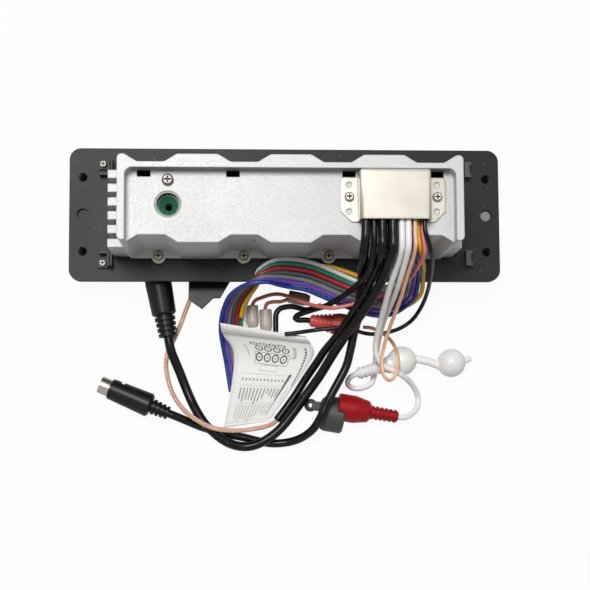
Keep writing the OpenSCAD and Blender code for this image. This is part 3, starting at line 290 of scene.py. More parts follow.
def strand_metal(name, code, dark_code, rough, metal):
    """Fine copper strands, uneven in colour along the lay."""
    p = Paint(name, code, rough, {"Metallic": metal})
    place = p.object_place()
    fine = p.noise(place, 2400, 2)
    broad = p.noise(place, 210, 3)
    skin = p.mix(broad, dark_code, code)
    skin = p.mix(fine * 0.35, skin, shade(code, 1.25))
    return p.done(
        base_color=skin, roughness=rough + (fine - 0.5) * 0.2, normal=p.bump(fine, 0.2, 0.03 * MM))


def circuit_board(name):
    """Green board with a copper grid under the mask."""
    p = Paint(name, "1f5d36", 0.4)
    place = p.object_place()
    x, y = p.axes(place)[:2]
    lines = ((x * 200).fract() < 0.12).most((y * 200).fract() < 0.12)
    broken = p.cells(place, 90) > 0.35
    skin = p.mix(lines * broken, "1f5d36", "3f8457")
    return p.done(base_color=skin, roughness=0.4 - lines * 0.1,
                  normal=p.bump(lines * broken, 0.2, 0.03 * MM))


def dark_glass(name):
    """Tinted display window with a faint dot grid behind it."""
    p = Paint(name, "0d1013", 0.08, {"Coat Weight": 0.6, "Coat Roughness": 0.05})
    x, y = p.axes(p.object_place())[:2]
    dots = (((x * 900).fract() - 0.5) ** 2 + ((y * 900).fract() - 0.5) ** 2) < 0.12
    smear = p.noise(p.object_place(), 45, 3)
    return p.done(base_color=p.mix(dots, "0b0d10", "161c20"),
                  roughness=0.05 + smear * 0.1)


def printed_paper(name):
    """White label paper with rings in rows, a ruled grid and short bars, laid out on its own UV."""
    p = Paint(name, "efeeea", 0.62)
    u, v = p.axes(p.node("ShaderNodeUVMap", {"uv_map": "print"}))[:2]
    place = p.object_place()
    fibre = p.noise(place, 1300, 4, 0.65)
    wash = p.noise(place, 60, 3)

    def frame_of(left, right, top, low, width):
        outer = inside(u, left, right) * inside(v, top, low)
        inner = inside(u, left + width, right - width) * inside(v, top + width * 0.9, low - width * 0.9)
        return outer - inner

    def line(value, at, width=0.006):
        return abs(value - at) < width / 2

    edge = line(u, 0.03).most(line(u, 0.055, 0.004)).most(line(u, 0.965)).most(line(v, 0.955, 0.005))
    across = (u - 0.125 - (v - 0.45) * 0.06) / 0.68
    column = across * 12
    cell = column.fract()
    ruled = inside(across, 0.0, 1.0)
    rules = line(v, 0.469).most(line(v, 0.589)).most(line(v, 0.773))
    middle = inside(cell, 0.3, 0.68) * ruled
    reach = p.noise(p.stretched(p.node("ShaderNodeCombineXYZ", sockets={
        "X": column - cell, "Y": 0.0, "Z": 0.0}), (3.7, 1.0, 1.0)), 1.0, 0)
    gaps = (v * 130).fract() > 0.22
    bars = (v > 0.612) * (v < 0.60 + reach * 0.25)
    tails = (v > 0.787) * (v < 0.80 + reach * 0.24) * ((v * 48).fract() > 0.25)
    thick = 0.046 - (v - 0.45).most(0.0) * 0.075
    side_bar = line(u, 0.845 - (v - 0.45) * 0.05, thick) * inside(v, 0.45, 0.76)
    margin = line(u, 0.9 + (v - 0.16) * 0.15, 0.024) * inside(v, 0.15, 0.58)
    marks = [
        edge * inside(u, 0.02, 0.97) * inside(v, 0.105, 0.965) * 0.4,
        line(v, 0.088, 0.007) * 0.5, line(v, 0.104, 0.004) * 0.3,
        frame_of(0.283, 0.727, 0.246, 0.368, 0.008) * 0.62, frame_of(0.372, 0.618, 0.372, 0.437, 0.008) * 0.45,
        line(u, 0.18 + (v - 0.185) * 0.26, 0.011) * inside(v, 0.185, 0.295) * 0.7,
        line(v, 0.275, 0.009) * inside(u, 0.73, 0.8) * 0.6,
        ruled * inside(v, 0.469, 0.94) * (cell < 0.09) * 0.22, ruled * rules * 0.34,
        middle * bars * gaps * 0.86, middle * tails * gaps * 0.68, middle * inside(v, 0.515, 0.54) * 0.72,
        side_bar * (0.7 + gaps * 0.25), line(u, 0.833, 0.014) * inside(v, 0.76, 0.93) * 0.75,
        margin * ((v * 34).fract() > 0.28) * 0.9, line(u, 0.925, 0.008) * inside(v, 0.6, 0.78) * 0.55]
    for at, dark in ((0.745, 0.5), (0.765, 0.75), (0.78, 0.7)):
        marks.append(line(u, at + (v - 0.16) * 0.18, 0.009) * inside(v, 0.16, 0.277) * dark)
    for left, top, low in ((0.255, 0.143, 0.179), (0.292, 0.178, 0.238), (0.285, 0.252, 0.347)):
        a = ((u - left) / 0.425 * 4).fract() - 0.5
        b = (v - top) / (low - top) - 0.5
        d = (a * a * 1.1 + b * b) ** 0.5
        row = inside(u, left, left + 0.425) * inside(v, top, low)
        marks += [inside(d, 0.31, 0.47) * row * 0.92, (d < 0.13) * row * 0.6]
    ink = reduce(Term.most, marks)
    skin = p.mix(wash, "f7f5f0", "fdfdfb")
    skin = p.mix(ink, skin, "1d1d1f")
    return p.done(base_color=skin, roughness=0.55 + fibre * 0.14, normal=p.bump(fibre, 0.12, 0.06 * MM))


def key_caps(name):
    """Satin key caps, each with its plain symbol: power, mute, list, back, play and next."""
    code = "2b2c2e"
    p = Paint(name, code, 0.42, {"Specular IOR Level": 0.35})
    place = p.object_place()
    x, y, z = p.axes(place)
    s = (0.5 - ((x - KEY_SPLIT) / KEY_PITCH).fract()) * (KEY_PITCH / MM)
    t = (y - KEY_ROW * (y > 0) + KEY_ROW * (y < 0)) / MM
    fine = p.noise(place, 3200, 2)
    broad = p.noise(place, 120, 3)

    reach = (s * s + t * t) ** 0.5
    power = inside(reach, 1.75, 2.25) * (1 - (abs(s) < 0.75) * (t > 0))
    power = power.most((abs(s) < 0.25) * inside(t, 0.5, 2.7))
    horn = (abs(s + 1.5) < 0.55) * (abs(t) < 0.75)
    horn = horn.most(inside(s, -1.0, 0.4) * (abs(t) < 0.75 + (s + 1.0) * 0.8))
    mute = horn.most((abs(abs(s - 1.8) - abs(t)) < 0.25) * (abs(t) < 0.9))
    rows = (abs(s) < 2.1) * (abs(t) < 1.8) * (abs((t / 1.3).fract() - 0.5) > 0.32)

    def skip(way):
        two = inside(way, -2.4, 2.0) * (abs(t) < (1 - ((way + 2.4) / 2.2).fract()) * 1.5)
        return two.most(inside(way, 2.0, 2.5) * (abs(t) < 1.5))

    play = inside(s, -2.2, 0.2) * (abs(t) < (0.2 - s) * 0.68)
    play = play.most((abs(t) < 1.6) * inside(s, 0.8, 1.3).most(inside(s, 1.8, 2.3)))
    upper, lower = y > 0, y < 0
    near, far = x > KEY_SPLIT, x < KEY_SPLIT - KEY_PITCH
    mid = inside(x, KEY_SPLIT - KEY_PITCH, KEY_SPLIT)
    marks = (power * near + mute * mid + rows * far) * upper
    marks = marks + (skip(s * -1) * near + play * mid + skip(s) * far) * lower
    marks = marks * (z < KEY_FACE)
    worn = p.noise(place, 900, 3)
    skin = p.mix(broad, shade(code, 0.85), shade(code, 1.15))
    skin = p.mix(marks * (0.75 + worn * 0.25), skin, "c9ccd0")
    return p.done(base_color=skin, roughness=0.4 + (fine - 0.5) * 0.16 + marks * 0.1,
                  normal=p.bump(fine, 0.2, 0.04 * MM))


def turned_knob(name):
    """Satin knob: turning lines on its face and one pale pointer."""
    code = "242526"
    p = Paint(name, code, 0.36, {"Specular IOR Level": 0.4})
    place = p.object_place()
    x, y, z = p.axes(place)
    a, b = x - KNOB_X, y
    reach = (a * a + b * b) ** 0.5
    rings = (reach * 2200).fract()
    fine = p.noise(place, 2600, 2)
    pointer = (abs(a) < 0.0006) * inside(b, 0.0068, 0.0112) * (z < KNOB_FACE)
    skin = p.mix(fine, shade(code, 0.85), shade(code, 1.15))
    skin = p.mix(pointer, skin, "d4d6d8")
    return p.done(base_color=skin, roughness=0.3 + (rings - 0.5) * 0.1 + fine * 0.1,
                  normal=p.bump(rings, 0.08, 0.02 * MM))


def soft_white(name, code):
    """Slightly translucent white rubber."""
    p = Paint(name, code, 0.38, {
        "Subsurface Weight": 0.25, "Subsurface Scale": 0.004, "Coat Weight": 0.15})
    place = p.object_place()
    fine = p.noise(place, 900, 3)
    broad = p.noise(place, 90, 3)
    skin = p.mix(broad, shade(code, 0.95), shade(code, 1.02))
    skin = p.dusted(skin, place, 500, 0.12, 0.05, 0.3, "8d8b86")
    return p.done(base_color=skin, roughness=0.34 + broad * 0.1 + fine * 0.05,
                  normal=p.bump(fine, 0.1, 0.04 * MM))


def screw_head(name, code, rim_code, head, local):
    """Plated screw heads: a bright middle, a duller rim and painted shade in the cross recess of each."""
    p = Paint(name, code, 0.4, {"Metallic": 0.5})
    place = p.object_place()
    x, y = p.axes(place)[:2]
    a, b = local(x, y)
    reach = (a * a + b * b) ** 0.5
    arm, web = 0.58 * head * MM, 0.17 * head * MM
    # Painted shade: the cross recess of each head made near black.
    shaded_cross = ((abs(a) < arm) * (abs(b) < web)).most((abs(b) < arm) * (abs(a) < web))
    cloud = p.noise(place, 700, 3, 0.6)
    skin = p.mix((reach > 0.72 * head * MM) * 0.85, code, rim_code)
    skin = p.mix(cloud * 0.4, skin, shade(rim_code, 0.8))
    skin = p.mix(shaded_cross, skin, "151412")
    return p.done(base_color=skin, roughness=0.36 + cloud * 0.2, metallic=0.5 - shaded_cross * 0.5,
                  normal=p.bump(cloud, 0.15, 0.04 * MM))


DULL = {"Specular IOR Level": 0.22}
finish = {
    "panel": panel_black("panel_satin_black"),
    "casting": cast_metal("casting_silver"),
    "clip": moulded("clip_black", "1f1f20", 0.42, dust=0.05, constants=DULL),
    "hook": moulded("hook_grey", "3e3f40", 0.4, dust=0.05),
    "ear_screw": screw_head("ear_screw_bronze", "cfc5b0", "8a713f", 2.5, lambda x, y: (
        ((x / EAR_PITCH).fract() - 0.5) * EAR_PITCH, abs(y - EAR_MIDDLE) - EAR_ROW)),
    "panel_screw": screw_head("panel_screw_zinc", "aaa69c", "6a655a", 2.8, lambda x, y: (
        x + 0.0586, y - 0.0064)),
    "fascia_screw": screw_head("fascia_screw_zinc", "aeaaa0", "6a655a", 2.0, lambda x, y: (
        x + 0.0952, abs(y) - 0.026)),
    "cover_screw": screw_head("cover_screw_zinc", "e4e0d6", "8f8675", 2.3, lambda x, y: (
        abs(x - COVER["x"] * MM) - COVER["screw_x"] * MM, y - COVER["screw_y"] * MM)),
    "nickel": sheet_nickel("nickel_sheet"),
    "steel": plated("plain_steel", "b9bcbf", 0.32, (1200, 80, 1200)),
    "brass": plated("brass_contact", "c9a24a", 0.28, (600, 600, 60), tarnish=0.4),
    "tuner": plated("tin_can", "c3c3bf", 0.35, (80, 1100, 1100)),
    "plug_metal": plated("plug_shell_nickel", "b4afa4", 0.2, (400, 400, 900), tarnish=0.35),
    "aerial_ring": plated("aerial_shell_nickel", "7d7a73", 0.5, (400, 400, 900), tarnish=0.3, metal=0.4),
    "gasket": moulded("gasket_rubber", "161616", 0.75),
    "glass": dark_glass("window_tint"),
    "display": moulded("display_frame", "3c5a4a", 0.5),
    "board": circuit_board("board_green"),
    "silicone": moulded("keypad_silicone", "55585a", 0.7),
    "key": key_caps("key_satin"),
    "knob": turned_knob("knob_satin"),
    "print": moulded("tick_print", "c4c7ca", 0.5),
    "encoder": moulded("encoder_case", "6f7478", 0.45),
    "chip": moulded("chip_epoxy", "232323", 0.6),
    "capacitor": moulded("capacitor_sleeve", "27323f", 0.35),
    "ribbon": moulded("ribbon_flex", "e7e2d2", 0.45),
    "aerial_green": moulded("aerial_nylon", "3a7a5c", 0.4, grain=0.5),
    "socket_black": moulded("connector_black", "131314", 0.34, grain=0.3, dust=0.1, constants=DULL),
    "tape": moulded("tape_black", "101011", 0.32, grain=0.6, dust=0.1, constants=DULL),
    "cable": drawn_skin("cable_black", "09090a", 0.24, constants=DULL),
    "white_lead": drawn_skin("lead_white", "f8f7f5", 0.42, dust=0.12, streak=0.05),
    "ground": drawn_skin("wire_black", "0d0d0e", 0.24, constants=DULL),
    "wire_white": drawn_skin("wire_white", "fbf9f4", 0.36, streak=0.05),
    "pink": drawn_skin("wire_pink", "dc7a70", 0.34),
    "copper": strand_metal("copper_strands", "fbd0b0", "d6976e", 0.36, 0.3),
    # Painted shade: the dark core seen in the gaps between strands.
    "strand_painted_shade": strand_metal("strand_painted_shade", "a86a55", "6d3f30", 0.5, 0.2),
    "braid": strand_metal("tinned_braid", "f3cbb6", "c08a74", 0.4, 0.3),
    "white_plug": soft_white("phono_white", "f4f3f1"),
    "white_rubber": soft_white("cap_white", "fafaf8"),
    "red_plug": moulded("phono_red", "a00d14", 0.36, grain=0.6, relief=0.12, constants=DULL),
    "faded_red": moulded("phono_faded_red", "d9564c", 0.36, grain=0.6, relief=0.12),
    "grey_rubber": moulded("cap_grey", "3a3838", 0.38, grain=0.6, dust=0.14, rounding=1.2),
    "grey_plug": moulded("phono_grey", "bdb3a9", 0.34, grain=0.5, relief=0.15),
    "paper": printed_paper("label_paper"),
}
for name, material, code, rough in (
        ("green", "wire_green", "0f7d62", 0.36), ("grey", "wire_grey", "7c7d80", 0.38),
        ("dark", "wire_dark_grey", "4e4f52", 0.38), ("purple", "wire_purple", "6840a8", 0.36),
        ("red", "wire_red", "b3172b", 0.36), ("blue", "wire_blue", "152f86", 0.36),
        ("yellow", "wire_yellow", "f0b60e", 0.36)):
    finish["wire_" + name] = drawn_skin(material, code, rough)


def give(obj, material):
    obj.data.materials.clear()
    obj.data.materials.append(material)


CAD_FINISH = {
    "panel": "mounting_flange fascia", "clip": "left_clips", "hook": "right_hooks",
    "fascia_screw": "fascia_screws", "panel_screw": "panel_screw", "cover_screw": "cover_screws",
    "ear_screw": "ear_screws", "brass": "encoder_plunger", "tuner": "tuner_can",
    "steel": "front_board_screws board_screws clamp_screws chip_clamp encoder_shaft",
    "plug_metal": "plug_shell", "aerial_ring": "aerial_shell", "nickel": "harness_cover", "casting": "casting",
    # aerial_contact takes the black rubber finish: painted shade in the socket's hole.
    "gasket": "casting_seal harness_grommet aerial_contact", "glass": "display_window",
    "display": "display_module", "board": "front_board main_board", "silicone": "keypad_mat",
    "key": "key_power key_mute key_source key_back key_play key_next", "knob": "volume_knob",
    "encoder": "encoder_body", "chip": "amplifier_chip", "capacitor": "capacitors", "ribbon": "ribbon_cable",
    "aerial_green": "aerial_insert", "socket_black": "remote_socket remote_plug", "tape": "tape_flag",
    "white_plug": "white_phono", "white_rubber": "white_cap", "red_plug": "red_phono",
    "faded_red": "upper_phono", "grey_rubber": "grey_cap", "grey_plug": "grey_phonos",
}
for name, members in CAD_FINISH.items():
    for member in members.split():
        give(nodes[member], finish[name])


def carry(piece, body, slot, *stood_for):
    """Sets a piece on a body, and in place of CAD nodes where some are named; the slot is not used."""
    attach(piece, body)
    if stood_for:
        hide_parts(*stood_for)


def linked(name, data):
    """A new object in the scene."""
    obj = bpy.data.objects.new(name, data)
    bpy.context.scene.collection.objects.link(obj)
    return obj


# Camera, light and table

def basis(yaw, tilt, roll):
    """Right, up and forward of a camera above the table, its picture's up along +Y."""
    forward = Vector((math.sin(yaw), math.sin(tilt) * math.cos(yaw), -math.cos(tilt) * math.cos(yaw)))
    right = forward.cross(Vector((0, 1, 0))).normalized()
    up = right.cross(forward)
    return (right * math.cos(roll) + up * math.sin(roll),
            up * math.cos(roll) - right * math.sin(roll), forward)


def add_camera():
    data = bpy.data.cameras.new("camera")
    data.sensor_width = SENSOR
    data.lens = FOCAL / PICTURE * SENSOR
    data.shift_x, data.shift_y = 0.04, 0.12
    data.clip_start, data.clip_end = 0.01, 20
    right, up, forward = basis(*(math.radians(angle) for angle in CAMERA_TURN))
    place = Matrix((right, up, -forward)).transposed().to_4x4()
    place.translation = Vector(CAMERA_AT) * MM
    camera = linked("camera", data)
    camera.matrix_world = place
    bpy.context.scene.camera = camera


def add_lamp(name, at, size, power):
    data = bpy.data.lights.new(name, "AREA")
    data.shape, data.size, data.energy = "DISK", size, power
    lamp = linked(name, data)
    lamp.location = at
    lamp.rotation_euler = (Vector((0, -0.04, 0)) - lamp.location).to_track_quat("-Z", "Y").to_euler()


def add_world():
    """A white room to the camera, to glass and to gloss, and a dim one to everything else."""
    world = bpy.data.worlds.new("studio")
    world.use_nodes = True
    bpy.context.scene.world = world
    n = Nodes(world.node_tree)
    strength = n.ray("Camera").most(n.ray("Transmission")).most(n.ray("Glossy") * 0.8).most(AMBIENT)
    n.put(n.tree.nodes["Background"], {"Color": (1, 1, 1), "Strength": strength})


def table_white():
    """White to the camera but for a share that takes shadows, with a painted shadow under the flange, clear
    from below.
    """
    p = Paint("table_white", TABLE_GREY, 1.0)
    x, y = p.axes(p.object_place())[:2]
    past_x, past_y = (abs(x) - SHADE_HALF[0]).most(0.0), (abs(y - SHADE_Y) - SHADE_HALF[1]).most(0.0)
    depth = SHADE_CORNER - (past_x * past_x + past_y * past_y) ** 0.5
    # Painted shadow: under the flange the floor loses its glow and turns near black.
    painted_shadow = (depth / SHADE_EDGE).most(0.0).least(1.0)
    lit = p.node("ShaderNodeMixShader", sockets={
        0: p.ray("Camera").most(p.ray("Transmission")) * (1 - painted_shadow) * TABLE_GLOW,
        1: p.node("ShaderNodeBsdfDiffuse", sockets={"Color": p.mix(painted_shadow, TABLE_GREY, SHADE_GREY)}),
        2: p.node("ShaderNodeEmission")})
    both = p.node("ShaderNodeMixShader", sockets={
        0: p.node("ShaderNodeNewGeometry", out="Backfacing").most(p.ray("Shadow")),
        1: lit, 2: p.node("ShaderNodeBsdfTransparent")})
    p.tree.links.new(both.socket, p.tree.nodes["Material Output"].inputs["Surface"])
    p.tree.nodes.remove(p.shader)
    return p.material


def add_table():
    half, drop = 4, -0.2 * MM
    mesh = bpy.data.meshes.new("table")
    corners = [(-half, -half, drop), (half, -half, drop), (half, half, drop), (-half, half, drop)]
    mesh.from_pydata(corners, [], [(0, 1, 2, 3)])
    mesh.materials.append(table_white())
    table = linked("table", mesh)


# The focal length is in pixels of the picture, and the camera's turns are yaw, tilt and roll in degrees
SENSOR, FOCAL, PICTURE = 36, 963.4, 590
CAMERA_AT, CAMERA_TURN = (-25.8, -112.7, 519.0), (2.05, 3.82, -0.24)
AMBIENT, TABLE_GREY, TABLE_GLOW = 0.15, (0.9, 0.9, 0.9), 0.94
# The painted shadow under the flange: its half size, centre, rounded corner, soft edge and grey.
SHADE_HALF, SHADE_Y, SHADE_CORNER, SHADE_EDGE = (0.1078, 0.0272), 0.0034, 0.008, 0.003
SHADE_GREY = (0.03, 0.03, 0.03)
bpy.context.scene.view_settings.view_transform = "Standard"
add_camera()
add_world()
add_lamp("key", (-0.22, 0.28, 1.2), 0.5, 11.5)
add_lamp("fill", (0.6, 0.1, 0.9), 0.6, 0.8)
add_lamp("under", (0.15, 0.2, -1.2), 0.6, 5.0)
add_table()


# Cords

def smooth(route, step):
    """Points along one smooth run through a route's points, in millimetres."""
    p = [Vector(q) for q in route]
    last = len(p) - 1
    points = []
    for i in range(last):
        a = 2 * p[0] - p[1] if i == 0 else p[i - 1]
        b, c = p[i], p[i + 1]
        d = 2 * p[last] - p[last - 1] if i == last - 1 else p[i + 2]
        count = max(1, round((c - b).length / step))
        for k in range(count):
            t = k / count
            points.append(0.5 * (2 * b + (c - a) * t + (2 * a - 5 * b + 4 * c - d) * t * t
                                 + (3 * b - a - 3 * c + d) * t * t * t))
    points.append(p[last])
    return points


def run_length(points):
    return sum((b - a).length for a, b in zip(points, points[1:]))


def lay_face(bm, uv, corners):
    """A smooth face, each corner a vertex and its place on the map."""
    face = bm.faces.new([vert for vert, u, v in corners])
    face.smooth = True
    for loop, (vert, u, v) in zip(face.loops, corners):
        loop[uv].uv = (u, v)


def sweep(name, points, d, material, sides=14):
    """A round tube along the points, with its run and its girth as UV."""
    bm = bmesh.new()
    uv = bm.loops.layers.uv.new("run")
    tangents = []
    for i in range(len(points)):
        tangents.append((points[min(i + 1, len(points) - 1)] - points[max(i - 1, 0)]).normalized())
    side = tangents[0].cross(Vector((0.3, 0.2, 1))).normalized()
    rings, runs, so_far = [], [], 0.0
    for i, (point, tangent) in enumerate(zip(points, tangents)):
        side = (side - tangent * side.dot(tangent)).normalized()
        top = tangent.cross(side)
        if i:
            so_far += (point - points[i - 1]).length
        runs.append(so_far / 10)
        rings.append([bm.verts.new((point + (side * math.cos(2 * math.pi * k / sides)
                                             + top * math.sin(2 * math.pi * k / sides)) * d / 2) * MM)
                      for k in range(sides)])
    for i in range(len(rings) - 1):
        for k in range(sides):
            lay_face(bm, uv, [(rings[j][m % sides], runs[j], m / sides)
                              for j, m in ((i, k), (i, k + 1), (i + 1, k + 1), (i + 1, k))])
    for ring, tangent, point, order in ((rings[0], -tangents[0], points[0], -1),
                                        (rings[-1], tangents[-1], points[-1], 1)):
        tip = bm.verts.new((point + tangent * d * 0.12) * MM)
        for k in range(sides):
            pair = (ring[k], ring[(k + 1) % sides])[::order]
            face = bm.faces.new((*pair, tip))
            face.smooth = True
    bmesh.ops.recalc_face_normals(bm, faces=bm.faces)
    return finished(name, bm, material)


def finished(name, bm, material):
    """Turns a bmesh into a piece at the origin with one finish."""
    mesh = bpy.data.meshes.new(name)
    bm.to_mesh(mesh)
    bm.free()
    mesh.materials.append(material)
    return linked(name, mesh)


def named_tree(name, inputs):
    """A geometry node tree with named inputs, and the way to add a node to it."""
    tree = bpy.data.node_groups.new(name, "GeometryNodeTree")
    face = tree.interface
    face.new_socket("Geometry", in_out="INPUT", socket_type="NodeSocketGeometry")
    ids = {}
    for label, (kind, value) in inputs.items():
        socket = face.new_socket(label, in_out="INPUT", socket_type="NodeSocket" + kind)
        if value is not None:
            socket.default_value = value
        ids[label] = socket.identifier
    face.new_socket("Geometry", in_out="OUTPUT", socket_type="NodeSocketGeometry")
    n = Nodes(tree)
    given = {s.name: Term(n, s) for s in tree.nodes.new("NodeGroupInput").outputs if s.name}
    return (tree, ids), given, n.node


def strand_tree():
    """Geometry nodes that lay fine strands round a route, all one way or crossing as a braid."""
    tree, given, add = named_tree("strand_lay", {
        "Strands": ("Int", 7), "Lay Radius": ("Float", 0.001), "Core Radius": ("Float", 0.001),
        "Strand Radius": ("Float", 0.0003), "Pitch": ("Float", 0.01), "Step": ("Float", 0.0006),
        "Braided": ("Bool", False), "Finish": ("Material", None), "Core Finish": ("Material", None)})

    def circle(count, radius):
        return add("GeometryNodeCurvePrimitiveCircle", {"mode": "RADIUS"},
                   {"Resolution": count, "Radius": radius})

    def tube(line, profile):
        return add("GeometryNodeCurveToMesh", None,
                   {"Curve": line, "Profile Curve": profile, "Fill Caps": True})

    def dressed(shape, material):
        return add("GeometryNodeSetMaterial", None, {"Geometry": shape, "Material": material})

    even = add("GeometryNodeResampleCurve", {"mode": "LENGTH"},
               {"Curve": given["Geometry"], "Length": given["Step"]})
    spots = add("GeometryNodeCurveToPoints", {"mode": "EVALUATED"},
                {"Curve": circle(given["Strands"], given["Lay Radius"])})
    laid = add("GeometryNodeInstanceOnPoints", None,
               {"Points": spots, "Instance": circle(6, given["Strand Radius"])})
    outline = add("GeometryNodeRealizeInstances", None, {"Geometry": laid})
    turns = add("GeometryNodeSplineParameter", out="Length") / given["Pitch"]
    ways = []
    for full_turn in (2 * math.pi, -2 * math.pi):
        turned = add("GeometryNodeSetCurveTilt", None, {"Curve": even, "Tilt": turns * full_turn})
        ways.append(tube(turned, outline))
    crossing = add("GeometryNodeSwitch", {"input_type": "GEOMETRY"},
                   {"Switch": given["Braided"], "True": ways[1]})
    strands = add("GeometryNodeJoinGeometry", None, {"Geometry": [ways[0], crossing]})
    core = dressed(tube(even, circle(10, given["Core Radius"])), given["Core Finish"])
    both = add("GeometryNodeJoinGeometry", None, {"Geometry": [core, dressed(strands, given["Finish"])]})
    plain = add("GeometryNodeRealizeInstances", None, {"Geometry": both})
    add("NodeGroupOutput", None, {"Geometry": add("GeometryNodeSetShadeSmooth", None, {"Geometry": plain})})
    return tree


def baked(name, source):
    """The evaluated shape of a source object as a plain mesh piece, in the finishes it already has."""
    view = bpy.context.evaluated_depsgraph_get()
    mesh = bpy.data.meshes.new_from_object(source.evaluated_get(view))
    mesh.name = name
    old = source.data
    bpy.data.objects.remove(source)
    if isinstance(old, bpy.types.Curve):
        bpy.data.curves.remove(old)
    return linked(name, mesh)


def grown(name, source, made, sizes):
    """The shape that a node tree grows from a source object, as a plain mesh piece."""
    modifier = source.modifiers.new("grown", "NODES")
    modifier.node_group, ids = made
    for label, value in sizes.items():
        modifier[ids[label]] = value
    return baked(name, source)


def add_line(curve, points, closed=False):
    spline = curve.splines.new("POLY")
    spline.points.add(len(points) - 1)
    spline.use_cyclic_u = closed
    for point, q in zip(spline.points, points):
        point.co = (*(Vector(q) * MM), 1)


def walled(name, bm, material, thickness):
    """A sheet with a wall of some millimetres below its faces."""
    source = finished(name + "_face", bm, material)
    wall = source.modifiers.new("thickness", "SOLIDIFY")
    wall.thickness, wall.offset = thickness * MM, -1
    return baked(name, source)


def stranded(name, points, d, material, strands, strand_r, pitch, braided):
    """Strands round a dark core along the points, with the sizes in millimetres; the core's dark finish is
    painted shade between the strands.
    """
    line = bpy.data.curves.new(name + "_line", "CURVE")
    line.dimensions = "3D"
    add_line(line, points)
    return grown(name, linked(name + "_line", line), STRANDS, {
        "Strands": strands, "Lay Radius": (d / 2 - strand_r) * MM,
        "Core Radius": (d / 2 - 1.2 * strand_r) * MM, "Strand Radius": strand_r * MM, "Pitch": pitch * MM,
        "Step": 0.6 * MM, "Braided": braided, "Finish": material, "Core Finish": finish["strand_painted_shade"]})


STRANDS = strand_tree()
GROMMET_Y, COVER_Y, TOP_ROW, LOW_ROW = -10.7, -17.7, 70.5, 66.7


def leaves(x):
    return [(x, GROMMET_Y, TOP_ROW), (x, COVER_Y, TOP_ROW)]


